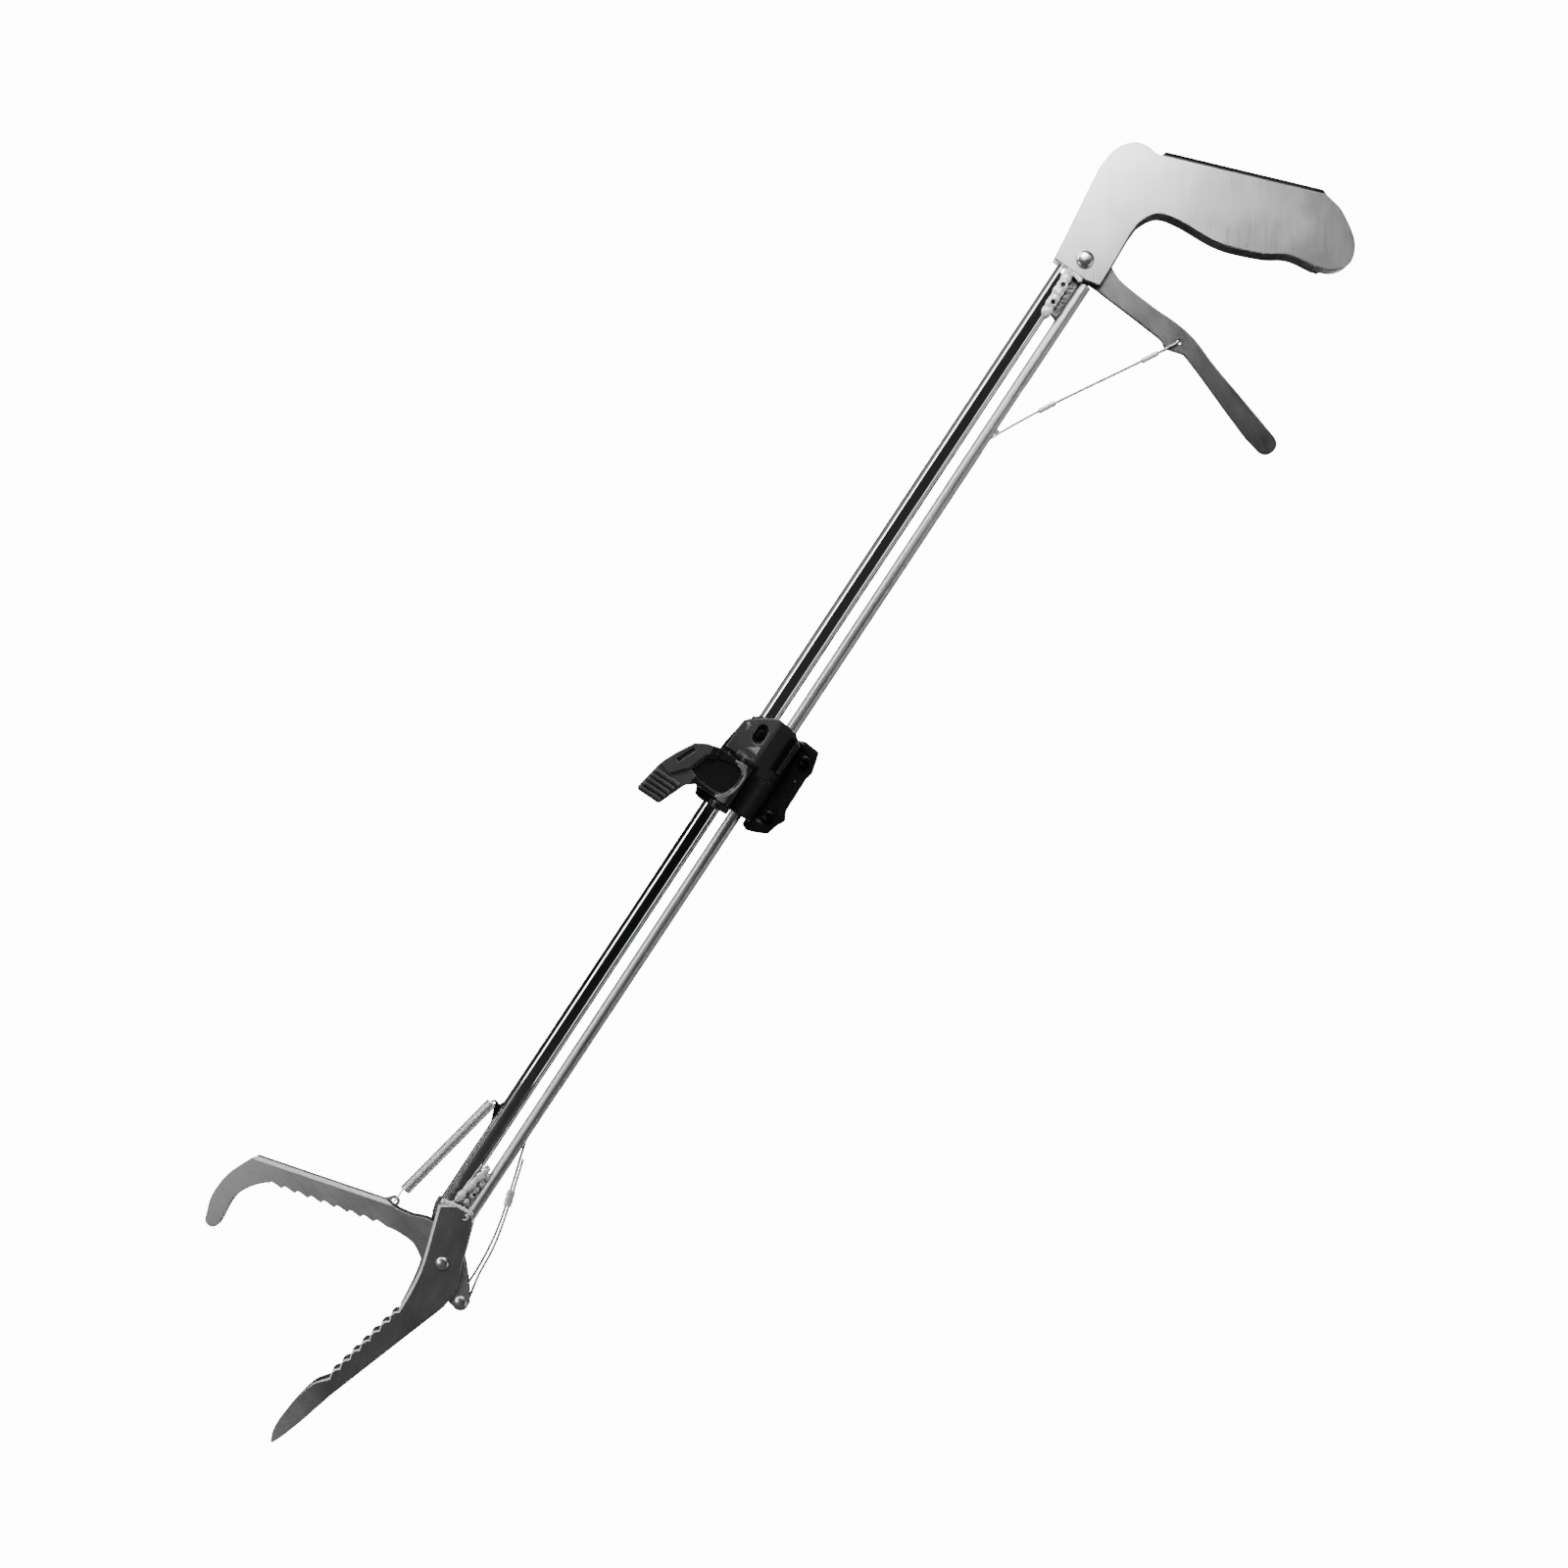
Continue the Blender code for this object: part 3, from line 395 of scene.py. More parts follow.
def piece(name, shape, body, finishes, stands_for=(), smooth=40, ride=True):
    """Turn a drawing into a finished piece of the frame."""
    mesh = to_mesh(shape)
    mesh.name = name
    mesh.transform(PLACE)
    for finish in finishes:
        mesh.materials.append(finish)
    mesh.shade_smooth()
    mesh.set_sharp_from_angle(angle=radians(smooth))
    made = put(name, mesh)
    even = made.modifiers.new("even_shading", "WEIGHTED_NORMAL")
    even.keep_sharp = True
    if ride:
        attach(made, body)
    if stands_for:
        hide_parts(*stands_for)
    return made


# ---- finishes

def feed(tree, target, value):
    """Set an input, or link it when the value is another node's output."""
    if isinstance(value, bpy.types.NodeSocket):
        tree.links.new(value, target)
    else:
        target.default_value = value


def add_node(tree, kind, inputs, operation=None):
    """A new node with the given inputs set or linked."""
    made = tree.nodes.new(kind)
    if operation:
        made.operation = operation
    for key, value in inputs.items():
        feed(tree, made.inputs[key], value)
    return made


class Finish:
    """A Principled material and short calls for the nodes that feed it."""

    def __init__(self, name, colour, metallic):
        self.material = bpy.data.materials.new(name)
        self.material.use_nodes = True
        self.tree = self.material.node_tree
        self.shader = self.tree.nodes["Principled BSDF"]
        self.colour = colour
        self.shader.inputs["Metallic"].default_value = metallic
        self.place = self.tree.nodes.new("ShaderNodeTexCoord").outputs["Object"]

    def feed(self, name, value):
        feed(self.tree, self.shader.inputs[name], value)

    def stretched(self, tilt, across, along):
        """Object coordinates turned by tilt degrees in XZ, then scaled per metre across and along."""
        turn = add_node(self.tree, "ShaderNodeMapping",
            {"Vector": self.place, "Rotation": (0, radians(tilt), 0)})
        scale = add_node(self.tree, "ShaderNodeMapping",
            {"Vector": turn.outputs["Vector"], "Scale": (across, across, along)})
        return scale.outputs["Vector"]

    def noise(self, vector, scale, detail=4.0, rough=0.55):
        made = add_node(self.tree, "ShaderNodeTexNoise",
            {"Vector": vector, "Scale": scale, "Detail": detail, "Roughness": rough})
        return made.outputs["Fac"]

    def spread(self, value, low, high, start=0.3, stop=0.7):
        """The value with start to stop mapped on to low to high."""
        made = add_node(self.tree, "ShaderNodeMapRange",
            {"Value": value, "From Min": start, "From Max": stop, "To Min": low, "To Max": high})
        return made.outputs["Result"]

    def maths(self, operation, a, b):
        return add_node(self.tree, "ShaderNodeMath", {0: a, 1: b}, operation).outputs["Value"]

    def add(self, a, b):
        return self.maths("ADD", a, b)

    def shade(self, factor):
        """Base colour times a factor."""
        made = add_node(self.tree, "ShaderNodeVectorMath", {0: self.colour, "Scale": factor}, "SCALE")
        self.feed("Base Color", made.outputs["Vector"])

    def rough(self, value):
        self.feed("Roughness", value)

    def bump(self, height, strength, depth):
        made = add_node(self.tree, "ShaderNodeBump",
            {"Strength": strength, "Distance": depth * MM, "Height": height})
        self.feed("Normal", made.outputs["Normal"])


def brushed(name, grey, roughness, tilt, streak=0.08, depth=0.02, across=2400.0, along=40.0):
    """Sheet or tube metal with a fine directional grain, faint wider bands and handling smudges."""
    finish = Finish(name, (grey, grey, grey * 1.01), 1.0)
    fine = finish.noise(finish.stretched(tilt, across, along), 1.0, 5.0, 0.7)
    bands = finish.noise(finish.stretched(tilt, across * 0.12, along * 0.3), 1.0, 2.0)
    smudge = finish.noise(finish.place, 55.0, 3.0)
    lines = finish.add(finish.spread(fine, -streak, streak), finish.spread(bands, -0.03, 0.03))
    finish.shade(finish.add(lines, finish.spread(smudge, 0.97, 1.03)))
    uneven = finish.add(finish.spread(fine, -0.05, 0.07), finish.spread(smudge, -0.03, 0.04))
    finish.rough(finish.add(uneven, roughness))
    finish.bump(fine, 0.35, depth)
    return finish.material


def polished(name, grey, roughness, lines=0.03):
    """Drawn and polished metal: faint lengthwise draw lines and a slow waviness of the wall."""
    finish = Finish(name, (grey, grey, grey * 1.01), 1.0)
    draw = finish.noise(finish.stretched(0, 900.0, 9.0), 1.0, 4.0, 0.6)
    wave = finish.noise(finish.stretched(0, 90.0, 26.0), 1.0, 1.0)
    scuff = finish.noise(finish.place, 160.0, 5.0, 0.7)
    finish.shade(finish.add(finish.spread(draw, -lines, lines), finish.spread(scuff, 0.95, 1.02)))
    finish.rough(finish.add(finish.spread(scuff, -0.02, 0.05, 0.5, 0.8), roughness))
    finish.bump(finish.add(wave, finish.spread(draw, -0.015, 0.015)), 0.5, 0.25)
    return finish.material


def weld_metal(name, grey, metallic):
    """Bright frozen weld metal: ripples and small spatter, rougher on the raised ripples."""
    finish = Finish(name, (grey, grey, grey * 0.99), metallic)
    lumps = finish.noise(finish.place, 700.0, 3.0)
    cloud = finish.noise(finish.place, 260.0, 2.0)
    finish.shade(finish.spread(cloud, 0.86, 1.05))
    finish.rough(finish.spread(lumps, 0.2, 0.4))
    finish.bump(lumps, 0.3, 0.15)
    return finish.material


def moulding(name, grey, roughness, gloss, grain=2600.0, depth=0.05, edge=0.22):
    """Black moulded plastic or rubber: fine grain, and edges painted paler in patches as a highlight.
    """
    finish = Finish(name, (1.0, 1.0, 1.0), 0.0)
    finish.feed("Specular IOR Level", gloss)
    fine = finish.noise(finish.place, grain, 3.0)
    cloud = finish.noise(finish.place, 70.0, 3.0)
    shape = finish.tree.nodes.new("ShaderNodeNewGeometry").outputs["Pointiness"]
    # Painted highlight: edges, found by pointiness, are painted paler in patches.
    rim_highlight = finish.spread(shape, 0.0, edge, 0.52, 0.60)
    rim_highlight = finish.maths("MULTIPLY", rim_highlight, finish.spread(cloud, 0.3, 1.0))
    finish.shade(finish.add(rim_highlight, finish.spread(cloud, grey * 0.8, grey * 1.25)))
    finish.rough(finish.add(finish.spread(fine, -0.05, 0.08), roughness))
    finish.bump(fine, 0.4, depth)
    return finish.material


def plated(name, grey, roughness):
    """Small hardware: plated or oxidised steel with fine pitting."""
    finish = Finish(name, (grey, grey, grey), 1.0)
    pits = finish.noise(finish.place, 1500.0, 4.0, 0.65)
    finish.shade(finish.spread(pits, 0.86, 1.08))
    finish.rough(finish.add(finish.spread(pits, -0.04, 0.10), roughness))
    finish.bump(pits, 0.3, 0.05)
    return finish.material


def brass_finish(name):
    finish = Finish(name, (0.74, 0.55, 0.27), 1.0)
    turned = finish.noise(finish.stretched(90, 1800.0, 60.0), 1.0, 3.0)
    finish.shade(finish.spread(turned, 0.86, 1.05))
    finish.rough(finish.spread(turned, 0.24, 0.4))
    finish.bump(turned, 0.3, 0.03)
    return finish.material


HANDLE_METAL = brushed("brushed_handle_sheet", 0.66, 0.32, 33.5)
HANDLE_EDGE = brushed("handle_cut_edge", 0.40, 0.26, 0)
# Painted shade: the outside of the handle's fold is painted near black.
HANDLE_FOLD_SHADE = brushed("handle_fold_painted_shade", 0.07, 0.30, 60)
TRIGGER_METAL = brushed("satin_trigger_plate", 0.22, 0.34, 60)
# Painted shade: the fixed jaw's sheet is painted darker than the moving jaw's.
FIXED_JAW_SHADE_METAL = brushed("fixed_jaw_painted_shade", 0.24, 0.40, 15)
MOVING_JAW_METAL = brushed("moving_jaw_sheet", 0.42, 0.38, 75)
# Painted highlight: near-white, nearly diffuse metal for the jaws' bright edge lines.
JAW_EDGE_HIGHLIGHT = weld_metal("cut_edge_painted_highlight", 0.95, 0.15)
TUBE_METAL = polished("polished_tube_metal", 0.75, 0.055)
SATIN_TUBE_METAL = brushed("satin_tube_metal", 0.60, 0.40, 0, 0.05, 0.006, 1100.0, 14.0)
RIVET_METAL = polished("polished_rivet", 0.85, 0.27)
WELD_METAL = weld_metal("weld_metal_bright", 0.9, 0.25)
# Painted shade: the insides of the weld's pits are painted near black.
WELD_PIT_SHADE = weld_metal("weld_pit_painted_shade", 0.02, 0.6)
# Painted shade: the handle weld's web is painted dark grey, a shaded copy of the pale web below.
WELD_WEB_SHADE = plated("weld_web_painted_shade", 0.13, 0.42)
PALE_WEB = plated("weld_web_pale", 0.55, 0.42)
WIRE_METAL = plated("galvanised_wire", 0.55, 0.30)
FERRULE_METAL = weld_metal("crimped_aluminium", 0.85, 0.4)
SPRING_METAL = plated("drawn_spring_wire", 0.90, 0.38)
BLACK_METAL = plated("black_oxide_steel", 0.03, 0.36)
BRASS = brass_finish("turned_brass")
NYLON = moulding("black_moulded_nylon", 0.007, 0.38, 0.3)
# Painted light: paler nylon for faces that catch more light, the clamp's front lug and the lever's
# ridge and tab.
PAINTED_LIGHT_NYLON = moulding("nylon_painted_light", 0.045, 0.45, 0.4, edge=0.4)
# Painted highlight: paler nylon for the lever's rounded rim.
RIM_HIGHLIGHT_NYLON = moulding("nylon_rim_painted_highlight", 0.13, 0.40, 0.5)
RUBBER = moulding("black_rubber_pad", 0.016, 0.75, 0.3, 1200.0, 0.12, 0.02)


# ---- shaft and welds

def shaft_tube(x, radius, bore, low, high, segments, slots=()):
    """A straight tube with softened ends, ring steps all along, and rounded slots on its +X side."""
    soft = 0.3
    steps = round((high - low) / 5)
    walls = [(radius, low + soft + (high - low - 2 * soft) * i / steps) for i in range(steps + 1)]
    profile = [(bore, low), (radius - soft, low)] + walls + [(radius - soft, high), (bore, high)]
    tube = lathe(profile, (x, 0, 0), (0, 0, 1), segments, hollow=True)
    cutters = []
    for slot_low, slot_high in slots:
        half = 1.1
        outline = long_hole(0, slot_low + half, slot_high - half, half, 10)
        cutters.append(prism(outline, x + 0.5, x + 6, "YZ"))
    return carve(tube, cuts=cutters) if cutters else tube


def make_shaft():
    """The main tube has one shallow dent above the clamp."""
    tube = shaft_tube(0.0, 4.8, 3.8, 136.0, 699.6, 96)
    for vertex in tube.verts:
        off = Vector((vertex.co.x + 4.0, vertex.co.y + 2.8, (vertex.co.z - 463.5) / 2.2)).length
        if off < 3.0 and vertex.co.x < 0:
            vertex.co.x += 0.25 * (1 - off / 3.0) ** 2
    piece("polished_tube", tube, "frame", [TUBE_METAL], ["main_tube"], 50)
    thin = shaft_tube(CABLE_TUBE_X, 3.2, 2.35, 138.0, 697.6, 64, ((180.0, 222.0), (600.0, 640.0)))
    piece("slotted_tube", thin, "frame", [SATIN_TUBE_METAL], ["cable_tube"], 50)


def add_ball(shape, centre, radius, stretch=(1, 1, 1)):
    made = bmesh.ops.create_icosphere(shape, subdivisions=3, radius=radius)
    for vertex in made["verts"]:
        vertex.co = Vector([c * s for c, s in zip(vertex.co, stretch)]) + Vector(centre)


def weld_bead(balls, pits, seed, web=None):
    """Frozen drops run together into one bead, with an optional flat web behind it.

    pits are (centre XZ and side, radius, depth).  Material 1 is the inside of a pit, painted
    near black as shade; material 2 the web.
    """
    dice = random.Random(seed)
    shape = bmesh.new()
    for x, y, z, radius in balls:
        jog = Vector((dice.uniform(-0.25, 0.25), 0, dice.uniform(-0.4, 0.4)))
        add_ball(shape, Vector((x, y, z)) + jog, radius * dice.uniform(0.92, 1.08), (1.0, 0.62, 1.15))
    if web:
        flat = to_mesh(web)
        shape.from_mesh(flat)
        bpy.data.meshes.remove(flat)
    bead = moulded(shape, 0.3, 8)
    bead.normal_update()
    moves = []
    for vertex in bead.verts:
        shift = vertex.normal * noise.noise(vertex.co * 0.8) * 0.22
        for centre, radius, depth in pits:
            reach = hypot(vertex.co.x - centre[0], vertex.co.z - centre[1])
            if reach < radius * 1.9 and vertex.co.y * centre[2] > 2:
                fall = max(0.0, 1 - (reach / (radius * 1.15)) ** 2)
                lip = exp(-((reach - radius * 1.4) / 0.4) ** 2) * 0.3
                shift += Vector((0, -centre[2] * (depth * fall ** 0.4 - lip), 0))
        moves.append(shift)
    for vertex, shift in zip(bead.verts, moves):
        vertex.co += shift
    for face in bead.faces:
        middle = face.calc_center_median()
        # Web faces get material 2: dark painted shade at the handle weld, the pale web at the jaw weld.
        if abs(middle.y) < 2.2:
            face.material_index = 2
        # Faces inside a pit get material 1, painted near black as shade.
        for centre, radius, _ in pits:
            if hypot(middle.x - centre[0], middle.z - centre[1]) < radius and middle.y * centre[2] > 2:
                face.material_index = 1
    return bead


def drops(start, end, radius, count):
    """Evenly spaced drops from start to end."""
    result = []
    for i in range(count):
        point = Vector(start).lerp(Vector(end), i / max(count - 1, 1))
        result.append((point.x, point.y, point.z, radius))
    return result


def make_welds():
    for side, sign in (("front", -1), ("rear", 1)):
        seam = drops((3.3, sign * 3.9, 676.2), (2.2, sign * 4.4, 698.2), 2.9, 7)
        seam += drops((-2.2, sign * 5.7, 699.8), (8.6, sign * 5.9, 698.0), 1.35, 6)
        low, high = sorted((sign * 0.9, sign * 2.0))
        web = prism([(4.0, 677.0), (9.6, 674.5), (9.8, 698.8), (4.0, 698.8)], low, high)
        pits = [((3.1, 691.1, sign), 1.2, 1.5), ((3.6, 681.3, sign), 1.2, 1.5)]
        bead = weld_bead(seam, pits, 11 + sign, web)
        piece("handle_weld_" + side, bead, "frame", [WELD_METAL, WELD_PIT_SHADE, WELD_WEB_SHADE],
            ["upper_weld_" + side], SMOOTH_ALL)

        seam = drops((2.8, sign * 4.4, 149.2), (6.4, sign * 3.9, 167.4), 1.75, 7)
        seam += drops((3.6, sign * 4.7, 151.6), (6.0, sign * 4.2, 164.0), 2.2, 3)
        seam += drops((7.2, sign * 3.4, 150.0), (9.0, sign * 2.6, 165.0), 1.5, 5)
        seam += drops((-2.2, sign * 5.7, 144.0), (11.8, sign * 5.7, 146.4), 1.5, 8)
        seam += [(11.4, sign * 6.2, 143.6, 1.7)]
        web = prism([(4.0, 147.0), (10.4, 147.0), (10.4, 164.0), (9.4, 167.0), (5.0, 167.0)], low, high)
        pits = [((10.6, 143.4, sign), 0.9, 1.3), ((8.4, 154.7, sign), 0.75, 1.0),
            ((5.2, 148.8, sign), 0.75, 1.0)]
        bead = weld_bead(seam, pits, 31 + sign, web)
        piece("jaw_weld_" + side, bead, "frame", [WELD_METAL, WELD_PIT_SHADE, PALE_WEB],
            ["lower_weld_" + side], SMOOTH_ALL)


# ---- handle, trigger and rivets

def make_handle():
    fold_start, fold_end = (9.3, 774.2), (84.0, 801.4)
    crown = smooth_run([(-7.9, 699.3), (-10.4, 720.8), (-13.2, 742.3), (-13.8, 752.0), (-12.0, 762.0),
        (-6.4, 769.1), (0.2, 771.0), (5.0, 770.4)]) + [(8.4, 770.9)]
    butt = [(86.9, 799.9)] + smooth_run([(91.0, 799.2), (98.2, 797.3), (111.0, 788.8), (115.5, 778.6),
        (110.6, 770.5), (101.0, 766.8)])
    grip_under = smooth_run([(101.0, 766.8), (88.2, 764.7), (77.0, 758.2), (56.2, 750.6),
        (33.6, 748.9), (22.9, 746.0), (17.7, 737.9), (16.9, 730.0)])
    foot = [(18.4, 701.4), (17.7, 700.3), (11.4, 698.8)]
    outline = crown + [fold_start, fold_end] + butt + grip_under[1:] + foot
    rear = list(outline)
    for i in range(len(outline) - len(grip_under) - 5, len(outline) - 2):
        rear[i] = shifted(outline[i], 0.8, -0.9)
    shell = folded_channel(outline, rear, len(crown), HANDLE_HALF, HANDLE_SHEET, 3.1, 0.4)
    shell = carve(shell, cuts=[cross_rod(TRIGGER_PIVOT, 9, 2.6)])
    # Material 2, the outside of the fold, is painted near black as shade.
    piece("folded_handle", shell, "frame", [HANDLE_METAL, HANDLE_EDGE, HANDLE_FOLD_SHADE],
        ["handle_shell"])


def domed_rivet(name, pivot, shank, head, rise, half, body, node):
    """A through rivet: shank, thin skirt and a slightly flattened dome on each side."""
    seat = half + 0.02
    dome = [(head, 0), (head, 0.12 * rise)]
    for i in range(1, 10):
        angle = radians(90 * i / 10)
        dome.append((head * cos(angle) ** 0.85, rise * (0.12 + 0.88 * sin(angle))))
    side = [(radius, seat + height) for radius, height in dome] + [(0, seat + rise)]
    profile = [(r, -h) for r, h in reversed(side)] + [(shank, -seat), (shank, seat)] + side
    x, z = pivot
    piece(name, lathe(profile, (x, 0, z), (0, 1, 0), 48), body, [RIVET_METAL], [node], 50)


def make_rivets():
    domed_rivet("handle_rivet", TRIGGER_PIVOT, 2.4, 4.6, 2.6, HANDLE_HALF, "frame", "trigger_rivet")
    domed_rivet("jaw_pivot_rivet", JAW_PIVOT, 2.0, 3.4, 1.7, HANDLE_HALF, "frame", "jaw_rivet")
    domed_rivet("cable_rivet", TAIL_PIVOT, 1.7, 3.4, 1.7, JAW_HALF, "moving_jaw", "tail_rivet")


def make_trigger():
    upper = smooth_run([(14.5, 714.0), (19.0, 711.9), (27.0, 708.9), (46.9, 707.2), (60.5, 706.9),
        (72.6, 705.0), (87.0, 699.9), (105.2, 694.5), (122.0, 689.5), (131.2, 686.7)])
    tip = arc((130.3, 681.4), 5.3, 75, -100, 16)
    lower = smooth_run([(119.8, 678.4), (103.3, 684.4), (83.1, 692.0), (71.9, 695.8)])
    ear = smooth_run([(71.9, 695.8), (67.0, 694.4), (62.6, 693.4), (59.4, 695.2), (56.7, 695.8)])
    hub = arc(TRIGGER_PIVOT, 8.8, 270, 60, 26)
    outline = upper[:-1] + tip + lower[:-1] + ear + [(41.5, 697.0), (17.2, 698.6)] + hub
    holes = [cross_rod(TRIGGER_EYE, 5, 1.05, 28), cross_rod(TRIGGER_PIVOT, 5, 2.6, 40)]
    plate = round_edges(carve(prism(outline, -2.0, 2.0), cuts=holes), 0.55, 3)
    piece("trigger_lever", plate, "trigger", [TRIGGER_METAL], ["trigger"])


# ---- cable, ferrules and spring

def ferrule(name, centre, direction, length, wide, slim, body, node, in_plane):
    """A sleeve squeezed at two places round two strands that lie side by side."""
    along = Vector(direction).normalized()
    side = Vector((along.z, 0, -along.x))
    across = Vector((0, 1, 0))
    major, minor = (side, across) if in_plane else (across, side)
    steps, sides = 36, 32
    sections = [(0.62, -length / 2 + 0.5), (0.66, -length / 2 + 0.1)]
    for i in range(steps + 1):
        t = i / steps
        dent = sum(exp(-((t - c) / 0.09) ** 2) for c in (0.3, 0.7))
        end = 1 - 0.16 * exp(-min(t, 1 - t) * 40)
        sections.append(((1.0 - 0.10 * dent) * end, length * (t - 0.5)))
    sections += [(0.66, length / 2 - 0.1), (0.62, length / 2 - 0.5)]
    shape = bmesh.new()
    rings = []
    for size, height in sections:
        ring = []
        for k in range(sides):
            angle = 2 * pi * k / sides
            u = copysign(abs(cos(angle)) ** 0.8, cos(angle))
            v = copysign(abs(sin(angle)) ** 0.8, sin(angle))
            point = Vector(centre) + along * height
            if size < 0.7:
                point += (major * (u * wide) + minor * (v * slim)) * size
            else:
                point += major * (u * wide * (2 - size)) + minor * (v * slim * size)
            ring.append(shape.verts.new(point))
        rings.append(ring)
    skin(shape, rings)
    bmesh.ops.recalc_face_normals(shape, faces=shape.faces)
    piece(name, shape, body, [FERRULE_METAL], [node], 50)


def make_upper_cable():
    top, low = Vector((*TRIGGER_EYE, 0)), Vector((CABLE_TUBE_X, 602.6, 0))
    along = (top - low).normalized()
    strand, spread, bow = 0.62, 3.1, 1.5
    aside = Vector((-along.y, along.x, 0))
    length = (top - low).length

    def at(distance_from_eye, y):
        share = distance_from_eye / length
        point = top - along * distance_from_eye + aside * bow * sin(pi * share ** 1.8)
        return (point.x, y, point.y)

    run_up = [at(d, -strand) for d in (length, 98, 84, 70, 55, 40, 26, 11.6)]
    loop = [at(9.6, -1.6), at(7.6, -spread), at(2.4, -spread), at(0.6, -spread * 0.8), at(0.0, -1.2),
        at(0.0, 1.2), at(0.6, spread * 0.8), at(2.4, spread), at(7.6, spread), at(9.6, 1.6)]
    run_back = [at(d, strand) for d in (11.6, 26, 40, 55, 70, 78)]
    route = smooth_run(run_up + loop + run_back, 8)
    piece("trigger_wire", rope(route, WIRE_RADIUS), "upper_link", [WIRE_METAL],
        ["upper_cable_loop"], 60)
    direction = (along.x, 0, along.y)
    for name, reach, node in (("trigger_ferrule", 16.0, "eye_ferrule"),
            ("upper_slot_ferrule", 72.7, "slot_ferrule")):
        ferrule(name, at(reach, 0), direction, 8.8, 1.8, 1.35, "upper_link", node, False)
    sleeve = [(0.55, 0), (1.0, 0), (1.15, 0.3), (1.15, 2.4), (1.0, 2.7), (0.55, 2.7)]
    sleeve = lathe(sleeve, (14.9, 0, 611.6), (0.46, 0, 0.89), 20, hollow=True)
    piece("slot_sleeve", sleeve, "upper_link", [WIRE_METAL])


def make_lower_cable():
    main_side = smooth_run([(12.3, 201.0), (13.4, 196.5), (16.2, 186.0), (20.0, 173.5), (23.2, 162.4),
        (26.8, 149.0), (29.0, 136.0), (30.0, 122.0), (29.5, 111.0)], 5)
    loop = arc(TAIL_PIVOT, 2.9, 190, 350, 12)
    free_side = smooth_run([(34.4, 111.0), (32.2, 122.0), (31.0, 136.0), (28.4, 149.2), (24.6, 162.8),
        (21.8, 172.6), (18.8, 182.5)], 5)
    route = [(x, 0, z) for x, z in main_side + loop + free_side]
    piece("jaw_wire", rope(route, WIRE_RADIUS), "lower_link", [WIRE_METAL],
        ["lower_cable_loop"], 60)
    ferrule("jaw_ferrule", (23.9, 0, 162.4), (3.4, 0, -11.0), 8.0, 2.0, 1.15, "lower_link",
        "tail_ferrule", True)


def make_inner_cable():
    low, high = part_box("pull_cable")
    bottom = (PLACE.inverted() @ low).z
    top = (PLACE.inverted() @ high).z
    run = rope([(CABLE_TUBE_X, 0, bottom), (CABLE_TUBE_X, 0, top)], 0.75, 6, 9.0, 2.0)
    piece("tube_wire", run, "inner_cable", [WIRE_METAL], ["pull_cable"], 60)


def make_spring():
    """A close-wound extension spring with a side hook at each end."""
    top, foot = Vector((-9.4, 0, 198.0)), Vector((SPRING_BOTTOM[0], 0, SPRING_BOTTOM[1]))
    down = (foot - top).normalized()
    across = Vector((0, 1, 0))
    over = down.cross(across)
    hook, coil, wire = 1.4, 2.45, 0.45
    start, end = 0.8, (foot - top).length - 7.5
    turns = round((end - start) / (2 * wire * 1.01))
    per_turn = 22

    def hook_loop(pivot, toward):
        centre = pivot + toward * hook
        return [centre + (toward * cos(radians(a)) + across * sin(radians(a))) * hook
            for a in range(50, 331, 20)]

    coils = []
    for i in range(turns * per_turn + 1):
        angle = 2 * pi * i / per_turn
        point = top + down * (start + (end - start) * i / (turns * per_turn))
        coils.append(point + (across * cos(angle) + over * sin(angle)) * coil)
    upper = list(reversed(hook_loop(top, down)))
    lower = hook_loop(foot, -down)
    run = smooth_run(upper + coils[2:4], 4)[:-5] + coils[2:-3] + smooth_run(coils[-4:-2] + lower, 4)[5:]
    shape = bmesh.new()
    sweep(shape, run, wire, 8)
    bmesh.ops.recalc_face_normals(shape, faces=shape.faces)
    made = piece("coil_spring", shape, "frame", [SPRING_METAL],
        ["return_spring", "spring_foot_hook"], 60, ride=False)
    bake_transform(made)
    lug = (smooth_run([(-4.5, 186.5), (-5.0, 189.5), (-6.2, 192.6), (-7.6, 196.2)], 4)
        + arc((-8.6, 197.6), 1.7, 240, 60, 14) + [(-6.0, 198.6), (-4.5, 201.5)])
    lug = carve(prism(lug, -0.75, 0.75), cuts=[cross_rod((-8.7, 197.6), 3, 0.8, 24)])
    piece("spring_tab", round_edges(lug, 0.25, 2), "frame", [BLACK_METAL], ["spring_lug"])


# ---- jaws

